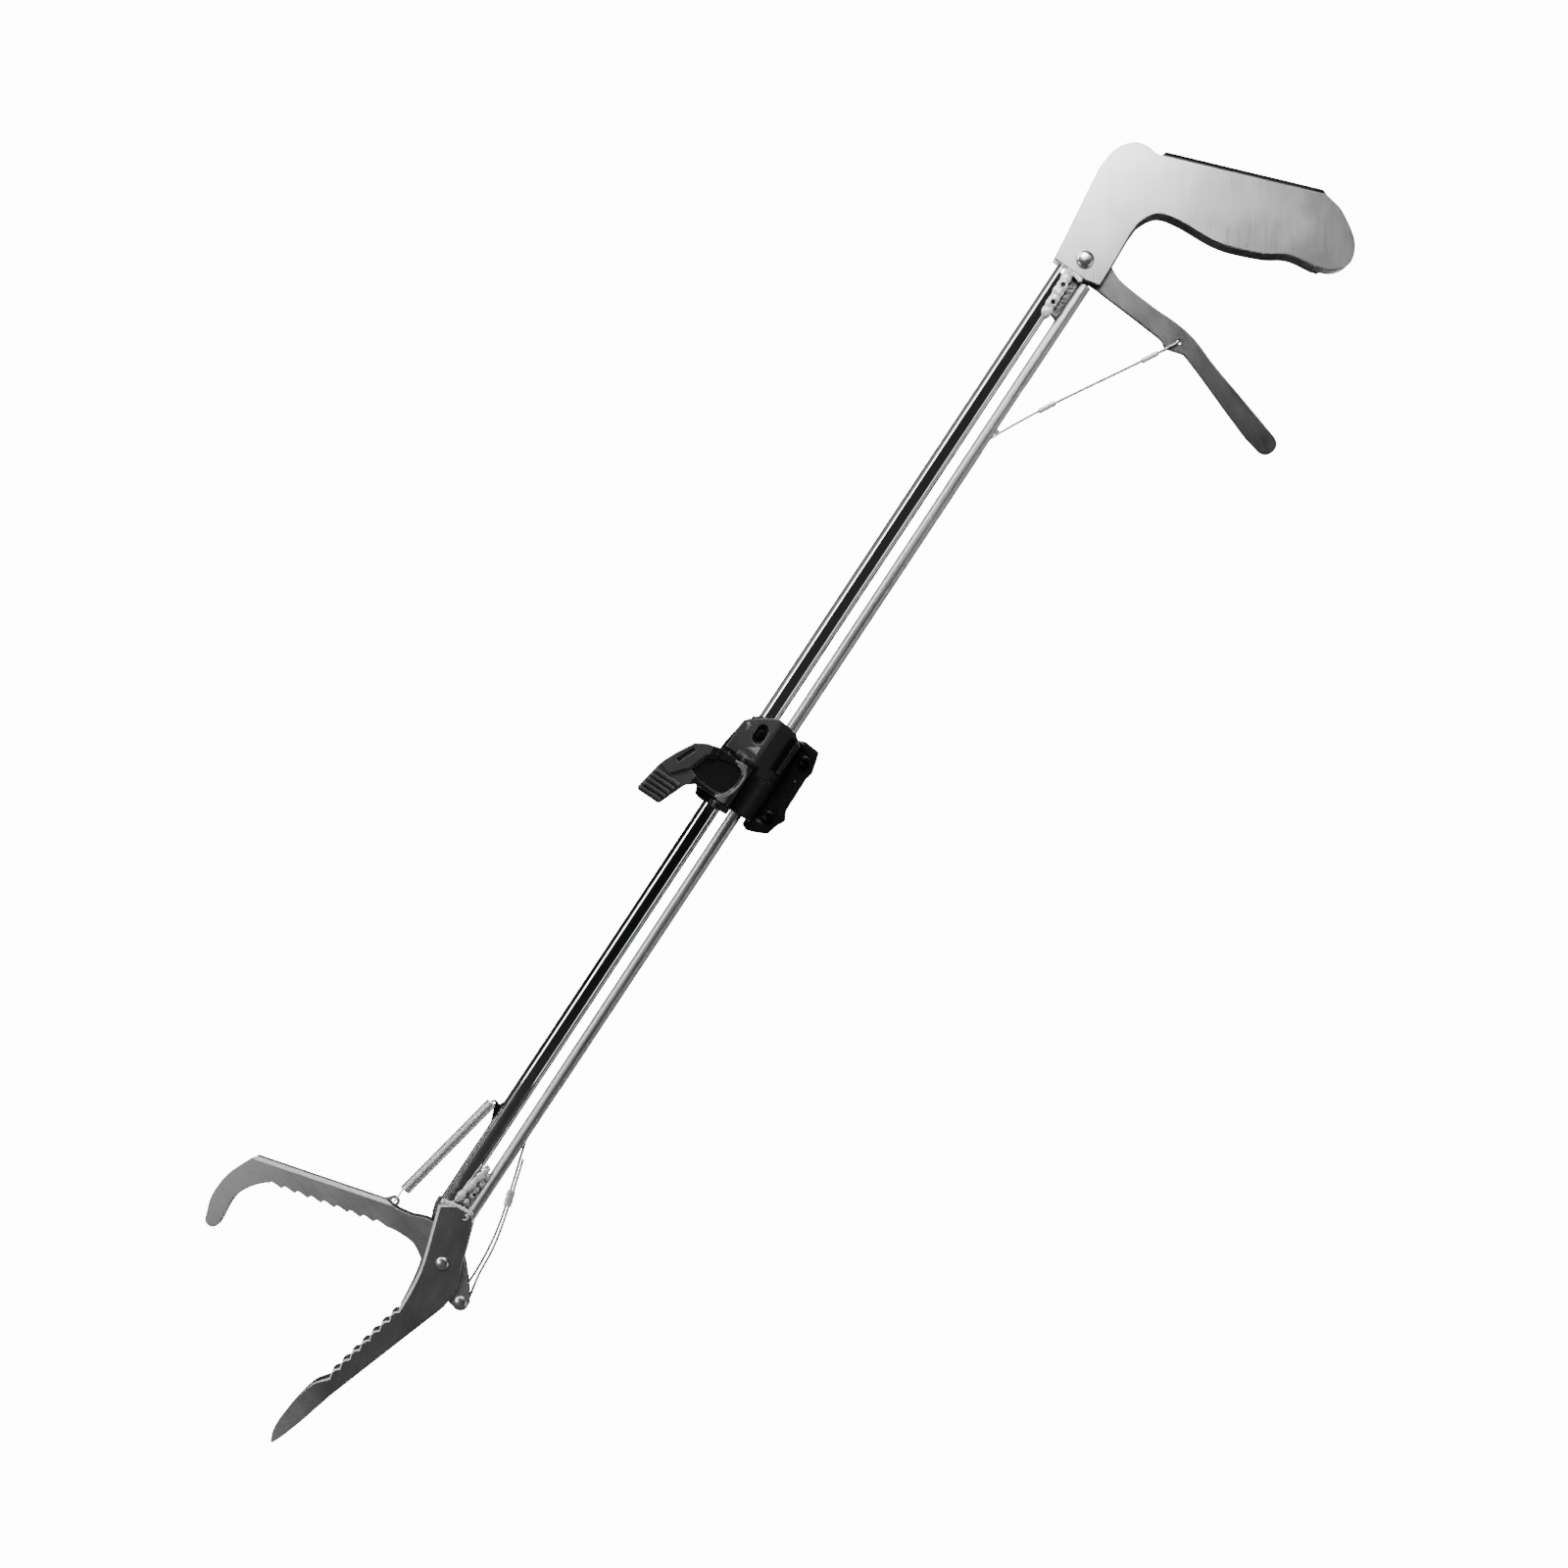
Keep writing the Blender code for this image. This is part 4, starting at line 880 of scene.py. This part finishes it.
def make_fixed_jaw():
    """The rear plate stands a little proud on the biting side; both leaves flare and twist."""
    fold_low, fold_high = (4.0, 33.7), (25.2, 96.2)
    left = smooth_run([(-2.1, 141.2), (1.8, 129.2), (5.2, 118.7), (7.9, 108.4), (9.3, 97.0),
        (9.7, 88.0)])
    teeth = toothed_edge((9.7, 86.5), (-0.6, 40.2), 7, -1.5, 0.62)
    leaf = smooth_run([(-1.2, 39.4), (-6.2, 33.3), (-9.3, 24.0), (-10.7, 12.9), (-10.3, 5.2),
        (-8.2, 0.4)])
    outer = smooth_run([(-7.0, 0.0), (-4.4, 6.0), (-0.6, 17.1), (1.1, 23.4)], 4) + [(2.7, 28.6)]
    right = [(26.6, 101.0)] + smooth_run([(27.2, 109.0), (25.2, 116.6), (22.2, 123.4), (19.2, 132.0),
        (16.6, 139.6)])
    outline = (left + teeth + leaf + outer + [fold_low, fold_high] + right
        + [(15.8, 142.4), (13.5, 145.7), (4.8, 145.8)])
    rear = list(outline)
    slant = {}
    biting, fading = len(left + teeth), 12
    for i in range(biting + fading):
        proud, chamfer = (4.6 - 2.4 * i / len(left), 1.5) if i < len(left) else (1.3, 0.7)
        ease = min(1.0, 1 - (i - biting) / fading)
        rear[i] = shifted(outline[i], -proud * ease, 0.3 * ease)
        slant[i] = (-chamfer * ease, 0.2 * ease)
    rear[-1] = shifted(outline[-1], -5.4, 0.0)
    rear[0] = shifted(outline[0], -4.1, 2.0)
    fold = len(left + teeth + leaf + outer)
    jaw = folded_channel(outline, rear, fold, HANDLE_HALF, HANDLE_SHEET, 2.2, 0.3, slant)
    jaw = carve(jaw, cuts=[cross_rod(JAW_PIVOT, 9, 2.2)])

    bend_point = Vector((-1.2, 0, 35.0))
    bend_normal = Vector((-0.55, 0, -1.0)).normalized()
    across = Vector((-bend_normal.z, 0, bend_normal.x))
    flare, twist, ease, cuts = 0.19, 0.25, 14.0, 8
    for step in range(cuts):
        geometry = jaw.verts[:] + jaw.edges[:] + jaw.faces[:]
        place = bend_point + bend_normal * (ease * step / (cuts - 1))
        bmesh.ops.bisect_plane(jaw, geom=geometry, plane_co=place, plane_no=bend_normal)
    for vertex in jaw.verts:
        beyond = (vertex.co - bend_point).dot(bend_normal)
        if beyond > 0:
            eased = beyond ** 2 / (2 * ease) if beyond < ease else beyond - ease / 2
            turned = twist * (vertex.co - bend_point).dot(across) * min(1.0, beyond / ease)
            vertex.co.y += copysign(1.0, vertex.co.y) * (flare * eased + turned)
    # The cut edges and the chamfer, material 1, carry the painted highlight.
    piece("folded_fixed_jaw", jaw, "frame",
        [FIXED_JAW_SHADE_METAL, JAW_EDGE_HIGHLIGHT, FIXED_JAW_SHADE_METAL], ["fixed_jaw"])


def make_moving_jaw():
    fold_start, fold_end = (-91.7, 111.6), (-26.5, 128.75)
    hook_outer = smooth_run([(-94.4, 107.6), (-99.0, 96.3), (-99.9, 83.5), (-96.8, 73.3)])
    hook_tip = arc((-92.8, 73.6), 3.9, 190, 350, 12)
    hook_inner = smooth_run([(-89.2, 75.5), (-89.9, 88.0), (-86.0, 97.2), (-80.2, 103.6)])
    teeth = toothed_edge((-79.6, 103.2), (-19.2, 117.8), 9, 1.4, 0.3)
    belly = smooth_run([(-17.0, 118.2), (-12.0, 118.7), (-3.9, 118.3), (3.0, 114.6), (9.5, 110.0),
        (18.0, 106.9), (26.4, 103.9), (28.6, 103.2)])
    ear = arc(TAIL_PIVOT, 4.1, 240, 385, 16)
    back = smooth_run([(34.6, 110.4), (30.9, 115.4), (27.4, 119.6), (21.0, 126.2), (13.0, 130.4),
        (4.0, 132.8), (-4.9, 132.2), (-12.4, 129.4), (-19.5, 128.2)])
    hook = hook_outer + hook_tip + hook_inner
    outline = [fold_start] + hook + teeth + belly + ear + back + [fold_end]
    jaw = folded_channel(outline, outline, len(outline) - 1, JAW_HALF, JAW_SHEET, 1.9, 0.35)
    tab = [(-29.5, 126.9), (-25.0, 126.2), (-21.0, 127.0)] + arc(SPRING_BOTTOM, 2.9, -30, 150, 16)
    spring_ear = round_edges(prism(tab, -0.75, 0.75), 0.2, 2)
    holes = [cross_rod(JAW_PIVOT, 9, 2.2), cross_rod(TAIL_PIVOT, 9, 1.9)]
    holes.append(cross_rod(SPRING_BOTTOM, 3, 1.3, 24))
    jaw = carve(jaw, joins=[spring_ear], cuts=holes)
    # The outside of the fold, material 2, carries the painted highlight.
    piece("folded_moving_jaw", jaw, "moving_jaw",
        [MOVING_JAW_METAL, MOVING_JAW_METAL, JAW_EDGE_HIGHLIGHT], ["moving_jaw"])


# ---- torch clamp

def half_disc(radius, sign):
    start = 180 if sign < 0 else 0
    edge = 0.2 * sign
    rim = arc((CLAMP_X, 0), radius, start, start + 180, 60)
    return [(x, min(y, edge) if sign < 0 else max(y, edge)) for x, y in rim]


def clamp_flanges(sign):
    near, far = sorted((sign * 0.2, sign * 5.0))
    left = [(-8, 387), (-16.5, 387), (-18.5, 389.5), (-18.5, 402.5), (-16.5, 405), (-8, 405)]
    right = [(14, 384), (17.0, 381.4), (20.8, 379.6), (25.0, 380.9), (31.0, 383.8), (32.6, 389.8),
        (34.8, 394.0), (32.4, 398.4), (32.0, 417.0), (33.0, 421.0), (30.0, 431.6), (21.4, 432.4),
        (16, 430)]
    return [prism(left, near, far), prism(right, near, far)]


def clamp_cutters():
    shoulder = [(-12.6, 406.5), (-9.6, 424.4), (-3.6, 431.4), (-3.6, 440), (-25, 440), (-25, 406.5)]
    cutters = [rod((CLAMP_X, 0, 370), (CLAMP_X, 0, 445), CLAMP_BORE, 80), prism(shoulder, -24, 24)]
    return cutters + [cross_rod(centre, 12, 1.7, 20) for centre in FLANGE_SCREWS]


def make_clamp_front():
    x, y = LEVER_PIVOT
    lug = [(-9.9, 408.4), (-9.9, 424.2), (-1.9, 430.7), (4.4, 434.2), (12.4, 433.7), (14.6, 428.1),
        (14.6, 408.4)]
    shoulder = [(12.0, 410.0), (19.6, 411.5), (20.4, 428.5), (15.5, 433.0), (12.0, 433.4)]
    joins = clamp_flanges(-1) + [prism(lug, -19.6, -9.0), prism(shoulder, -15.6, -7.0)]
    foot = [(-11.0, 384.3), (-9.6, 381.0), (-5.9, 380.1), (0.5, 381.2), (0.5, 384.3)]
    joins.append(prism(foot, -22.5, -12.0))
    for low, high in ((380.6, 384.1), (406.9, 410.4)):
        cheek = arc((x, y), 3.4, 180, 360, 16) + [(x + 6.5, -14), (x - 9.5, -14)]
        joins.append(prism(cheek, low, high, "XY"))
    panel = [(20.6, 386.6), (28.0, 387.0), (29.4, 393.0), (28.8, 399.6), (28.4, 416.0), (28.6, 421.0),
        (26.6, 427.6), (20.6, 428.6)]
    ax, az = ADJUSTER
    pocket = long_hole(ax, az - 2.3, az + 2.3, 2.9, 16)
    band = rectangle(CLAMP_X - 19, 398.0, CLAMP_X - 10, 399.2)
    corner = [(5.0, -20.4), (18.0, -20.4), (18.0, -11.0)]
    cuts = clamp_cutters()
    cuts += [rod((x, y, 375), (x, y, 412), 1.6, 20), rod((0.5, -30, 395.5), (0.5, 0, 395.5), 2.7)]
    cuts += [prism(pocket, -22, -17.4), prism(panel, -6.0, -4.3), prism(band, -14, -9.5)]
    cuts.append(prism(corner, 405.0, 440.0, "XY"))
    shell = carve(prism(half_disc(CLAMP_OUTER, -1), CLAMP_LOW, CLAMP_HIGH, "XY"), joins, cuts)
    shell = moulded(shell, *CLAMP_MOULD)
    # Faces of the front lug take material 1, painted paler as light.
    for face in shell.faces:
        middle = face.calc_center_median()
        if middle.y < -18.8 and middle.z > 409:
            face.material_index = 1
    piece("clamp_front", shell, "frame", [NYLON, PAINTED_LIGHT_NYLON], ["clamp_shell_front"],
        SMOOTH_ALL)


def make_clamp_rear():
    boss = rod((CLAMP_X, 14, SWIVEL_Z), (CLAMP_X, 20, SWIVEL_Z), 10.0, 48)
    ribs = [prism(rectangle(CLAMP_X - 15.5, low, CLAMP_X + 15.5, low + 2), 6.0, 17.2)
        for low in (388.0, 425.0)]
    cuts = clamp_cutters() + [rod((CLAMP_X, 15, SWIVEL_Z), (CLAMP_X, 25, SWIVEL_Z), 2.7)]
    shell = carve(prism(half_disc(CLAMP_OUTER, 1), CLAMP_LOW, CLAMP_HIGH, "XY"),
        clamp_flanges(1) + [boss] + ribs, cuts)
    piece("clamp_rear", moulded(shell, *CLAMP_MOULD), "frame", [NYLON],
        ["clamp_shell_rear"], SMOOTH_ALL)


def make_cam_lever():
    """A lever with a cam barrel, a rounded rim round a sunk panel, a slotted ridge and a ribbed tab."""
    x, y = LEVER_PIVOT
    low, high = 384.6, 406.4
    barrel = rod((x, y + 0.8, low), (x, y + 0.8, high), 5.1, 48)
    rim_end = smooth_run([(-2.0, 406.3), (3.6, 405.9), (6.6, 402.4), (7.0, 397.4), (5.9, 391.4),
        (3.4, 386.6), (-1.0, 384.7)])
    blade = rim_end + [(-11.9, 385.1), (-16.0, 381.8), (-21.4, 368.0), (-22.6, 367.2), (-33.8, 367.4),
        (-34.9, 368.6), (-32.4, 382.4), (-31.2, 386.4), (-28.2, 393.0), (-23.2, 401.8), (-18.0, 404.8),
        (-11.5, 406.6)]
    ridge = [(-11.5, 406.4), (-18.0, 404.6), (-23.0, 401.6), (-28.0, 393.0), (-31.2, 386.2),
        (-31.6, 384.6), (-25.4, 382.8), (-18.8, 390.2), (-15.2, 400.2), (-10.5, 402.4)]
    rim = [(px * 0.9 + 0.1, y - 3.7, 395.5 + (pz - 395.5) * 0.92) for px, pz in rim_end]
    bead = bmesh.new()
    sweep(bead, rim, 0.65, 12)
    bmesh.ops.recalc_face_normals(bead, faces=bead.faces)
    joins = [prism(blade, y - 3.6, y + 0.4), prism(ridge, y - 5.0, y - 3.0), bead]
    for i in range(5):
        z = 368.6 + 2.75 * i
        share = (z - 368.0) / 15.0
        left, right = -34.4 + 2.4 * share, -21.8 + 5.0 * share
        joins.append(prism(rectangle(left + 0.5, z, right - 0.5, z + 1.4), y - 5.0, y - 3.0))
    sunk = smooth_run([(-2.0, 403.9), (2.4, 403.6), (4.5, 401.0), (4.8, 397.0), (3.8, 392.2),
        (1.8, 388.6), (-1.6, 387.1)]) + [(-11.0, 387.4), (-17.6, 390.0), (-14.2, 399.6), (-9.8, 401.8)]
    slot = [(-26.4, 390.4), (-24.6, 389.5), (-20.6, 398.9), (-22.4, 399.8)]
    cuts = [rod((x, y, 370), (x, y, 420), 1.6, 20), prism(sunk, y - 6, y - 2.7),
        prism(slot, y - 6, y - 3.4)]
    lever = moulded(carve(barrel, joins, cuts), 0.25, 2, 0.5)
    for face in lever.faces:
        centre = face.calc_center_median()
        # The rim bead and the front faces near the barrel take material 2, a painted highlight.
        if centre.y < y - 3.75 and centre.x > -8:
            face.material_index = 2
        # Faces of the ridge and ribbed tab take material 1, painted paler as light.
        elif centre.y < y - 3.2 and centre.x < -14:
            face.material_index = 1
    piece("clamp_lever", lever, "cam_lever", [NYLON, PAINTED_LIGHT_NYLON, RIM_HIGHLIGHT_NYLON],
        ["cam_lever"], SMOOTH_ALL)


def cross_screw(name, centre, head_y, head, shank, length, node):
    """A pan head screw along +Y with a cross recess."""
    x, z = centre
    crown = [(0, 0), (head * 0.62, 0.08), (head * 0.9, 0.42), (head, 0.95), (head, 2.2), (shank, 2.2),
        (shank, length), (0, length)]
    screw = lathe(crown, (x, head_y, z), (0, 1, 0), 32)
    cuts = []
    for half_x, half_z in ((0.42, 1.7), (1.7, 0.42)):
        outline = rectangle(x - half_x, z - half_z, x + half_x, z + half_z)
        cuts.append(prism(outline, head_y - 1, head_y + 1.1))
    piece(name, carve(screw, cuts=cuts), "frame", [BLACK_METAL], [node], 35)


def hex_nut(name, start, axis, height, radius, bore, body, node):
    """A hexagon nut with its corners turned off."""
    flats = lathe([(bore, 0), (radius, 0), (radius, height), (bore, height)], start, axis, 6,
        hollow=True)
    dome = lathe([(0, 0), (radius * 0.88, 0), (radius * 1.06, 0.5), (radius * 1.06, height - 0.5),
        (radius * 0.88, height), (0, height)], start, axis, 48)
    piece(name, carve(flats, limits=[dome]), body, [BLACK_METAL], [node], 30)


def make_clamp_fittings():
    for i, (x, z) in enumerate(FLANGE_SCREWS, 1):
        cross_screw("flange_screw_%d" % i, (x, z), -7.5, 2.9, 1.5, 14.4, "clamp_screw_%d" % i)
        hex_nut("flange_nut_%d" % i, (x, 5.1, z), (0, 1, 0), 2.6, 3.0, 1.5, "frame", "clamp_nut_%d" % i)
    x, z = ADJUSTER
    dial = [(0, 0), (1.7, 0), (2.1, 0.15), (2.3, 0.5), (2.3, 1.4), (0, 1.4)]
    dial = lathe(dial, (x, -18.9, z), (0, 1, 0), 40)
    slot = prism(rectangle(x - 0.35, z - 1.9, x + 0.35, z + 1.9), -20, -18.3)
    piece("pad_adjuster_screw", carve(dial, cuts=[slot]), "frame", [BLACK_METAL],
        ["pad_adjuster"], 35)


def make_torch_holder():
    x, z = CLAMP_X, SWIVEL_Z
    low, high = z - 10.0, z + 10.0
    ring = rod((x, RING_Y, low), (x, RING_Y, high), RING_OUTER, 80)
    saddle = rectangle(x - 9, 21.6, x + 9, 32)
    ears = rectangle(x - 5.6, 52, x + 5.6, 65.8)
    joins = [prism(saddle, low, high, "XY"), prism(ears, z - 6, z + 6, "XY")]
    split = rectangle(x - 1.8, 45, x + 1.8, 70)
    cuts = [rod((x, RING_Y, low - 5), (x, RING_Y, high + 5), RING_BORE, 80)]
    cuts.append(prism(split, low - 5, high + 5, "XY"))
    cuts += [rod((x, 15, z), (x, 35, z), 2.7), rod((x, 23.9, z), (x, 32, z), 4.8)]
    cuts.append(rod((x - 20, RING_SCREW_Y, z), (x + 20, RING_SCREW_Y, z), 1.9))
    holder = moulded(carve(ring, joins, cuts), *CLAMP_MOULD)
    for vertex in holder.verts:
        spoke = Vector((vertex.co.x - x, vertex.co.y - RING_Y, 0))
        if RING_OUTER - 0.5 < spoke.length < RING_OUTER + 0.1:
            depth = max(0.0, min(1.0, (7.5 - abs(vertex.co.z - z)) / 1.2))
            vertex.co -= spoke.normalized() * 0.8 * depth
    piece("torch_clip", holder, "torch_holder", [NYLON], ["torch_ring"], SMOOTH_ALL)

    inner, outer = RING_BORE - 1.5, RING_BORE - 0.1
    strip = arc((x, RING_Y), outer, 110, 430, 160)
    for i in range(321):
        angle = radians(430 - i)
        radius = inner - 0.35 * max(0.0, cos(radians(i * 20))) ** 0.5
        strip.append((x + radius * cos(angle), RING_Y + radius * sin(angle)))
    pad = round_edges(prism(strip, low + 1.5, high - 1.5, "XY"), 0.15, 1, 70)
    piece("ribbed_torch_pad", pad, "torch_holder", [RUBBER], ["torch_pad"])


def make_thumbscrew():
    x, y, z = CLAMP_X, RING_SCREW_Y, SWIVEL_Z

    def knurl(angle, height):
        return 1 + 0.055 * cos(16 * angle) if 0.3 < height < 5.2 else 1.0

    knob = [(0, 0.9), (2.2, 0.9), (2.8, 0.1), (5.2, 0), (5.7, 0.4), (6.0, 0.9), (6.0, 4.7), (5.6, 5.2),
        (4.0, 5.6), (1.7, 5.6), (1.7, 20.6), (1.3, 21.0), (0, 21.0)]
    screw = lathe(knob, (x - 11.5, y, z), (1, 0, 0), 128, ripple=knurl)
    piece("knurled_thumbscrew", screw, "torch_thumbscrew", [NYLON],
        ["torch_thumbscrew"], 40)
    hex_nut("thumbscrew_nut", (x + 5.8, y, z), (1, 0, 0), 2.5, 3.3, 1.7, "torch_holder", "torch_nut")


def dress_hidden_nodes():
    """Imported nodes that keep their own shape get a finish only."""
    finishes = {"trigger_bush_front": BRASS, "trigger_bush_rear": BRASS, "clamp_pad_front": RUBBER,
        "clamp_pad_rear": RUBBER, "swivel_washer": RUBBER, "swivel_bolt": BLACK_METAL,
        "lever_pin": BLACK_METAL, "cam_plunger": BLACK_METAL}
    for node, finish in finishes.items():
        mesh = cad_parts[node].data
        mesh.materials.clear()
        mesh.materials.append(finish)


# ---- stage, light and camera

PAPER_WHITE = 14.0


def show_camera(tree, seen, unseen, output):
    """Give the camera one shader and every other ray another."""
    ray = tree.nodes.new("ShaderNodeLightPath").outputs["Is Camera Ray"]
    mix = add_node(tree, "ShaderNodeMixShader", {"Fac": ray, 1: unseen, 2: seen})
    feed(tree, tree.nodes[output].inputs["Surface"], mix.outputs["Shader"])


def make_stage(centre):
    """A wide pale floor just under the leaf tip; it and the sky are nearly white to the camera."""
    shape = bmesh.new()
    bmesh.ops.create_circle(shape, cap_ends=True, segments=96, radius=30.0)
    mesh = to_mesh(shape)
    floor = put("floor", mesh)
    floor.location = (centre.x, 0, CAD_LOW.z - 0.5 * MM)
    material = bpy.data.materials.new("pale_floor")
    material.use_nodes = True
    tree = material.node_tree
    dark = tree.nodes["Principled BSDF"]
    dark.inputs["Base Color"].default_value = (0.07, 0.07, 0.07, 1)
    dark.inputs["Roughness"].default_value = 0.9
    pale = add_node(tree, "ShaderNodeEmission", {"Strength": PAPER_WHITE})
    show_camera(tree, pale.outputs["Emission"], dark.outputs["BSDF"], "Material Output")
    mesh.materials.append(material)


def make_sky():
    """White to the camera; to the metal a dim studio, darkest in front and behind."""
    world = bpy.data.worlds.new("studio")
    bpy.context.scene.world = world
    world.use_nodes = True
    tree = world.node_tree
    white = tree.nodes["Background"]
    white.inputs["Color"].default_value = (1, 1, 1, 1)
    white.inputs["Strength"].default_value = PAPER_WHITE
    direction = tree.nodes.new("ShaderNodeTexCoord").outputs["Generated"]
    split = add_node(tree, "ShaderNodeSeparateXYZ", {"Vector": direction})
    sides = add_node(tree, "ShaderNodeMath", {0: split.outputs["X"]}, "ABSOLUTE").outputs["Value"]
    ramp = add_node(tree, "ShaderNodeMapRange", {"Value": sides, "From Min": 0.75, "From Max": 1.0,
        "To Min": 0.04, "To Max": 0.4})
    dim = add_node(tree, "ShaderNodeBackground", {"Strength": ramp.outputs["Result"]})
    show_camera(tree, white.outputs["Background"], dim.outputs["Background"], "World Output")


def softbox(name, centre, offset, width, height, brightness):
    """An area light facing the centre; brightness is its radiance."""
    data = bpy.data.lights.new(name, "AREA")
    data.shape = "RECTANGLE"
    data.size, data.size_y = width, height
    data.energy = brightness * width * height * pi
    light = put(name, data)
    light.location = Vector(centre) + Vector(offset)
    light.rotation_mode = "QUATERNION"
    light.rotation_quaternion = Vector(offset).to_track_quat("Z", "Y")
    light.visible_camera = False


def make_lights(centre):
    softbox("key_upper_left", centre, (-0.9, -1.5, 1.35), 1.2, 0.8, 1.5)
    softbox("front_upper", centre, (0.3, -1.6, 1.7), 1.4, 0.6, 0.8)
    softbox("left_strip", centre, (-1.63, -0.76, 0.0), 0.36, 2.6, 12.0)
    softbox("right_strip", centre, (1.63, -0.76, 0.0), 0.2, 2.6, 3.0)
    softbox("handle_glow", centre, (-0.14, -0.30, 0.43), 0.20, 0.20, 15.0)
    softbox("jaw_fill", centre, (-0.35, -0.45, -0.385), 0.3, 0.045, 17.0)
    softbox("rear_upper", centre, (0.6, 1.6, 1.3), 1.4, 0.8, 9.0)
    softbox("rear_low", centre, (0.40, 0.50, -0.37), 0.4, 0.06, 14.0)
    softbox("rear_strip", centre, (1.6, 0.9, 0.0), 0.2, 2.4, 1.5)


def make_camera(centre):
    """Square on to the tongs, and rolled so the shaft leans right."""
    distance, lean = 1.6, radians(33.49)
    back = Vector((0.0, -1.0, 0.0))
    upward = Vector((-sin(lean), 0.0, cos(lean)))
    right = upward.cross(back)
    data = bpy.data.cameras.new("camera")
    data.sensor_width, data.lens = 36.0, 74.05
    data.clip_end = 100.0
    camera = put("camera", data)
    turn = Matrix((right, upward, back)).transposed().to_4x4()
    camera.matrix_world = Matrix.Translation(centre + back * distance) @ turn
    bpy.context.scene.camera = camera


VIEW_CENTRE = PLACE @ Vector((24.1, 0, 409.0))
make_camera(VIEW_CENTRE)
make_sky()
make_lights(VIEW_CENTRE)
make_stage(VIEW_CENTRE)
make_shaft()
make_welds()
make_handle()
make_rivets()
make_trigger()
make_upper_cable()
make_lower_cable()
make_inner_cable()
make_spring()
make_fixed_jaw()
make_moving_jaw()
make_clamp_front()
make_clamp_rear()
make_cam_lever()
make_clamp_fittings()
make_torch_holder()
make_thumbscrew()
dress_hidden_nodes()

bpy.context.view_layer.update()
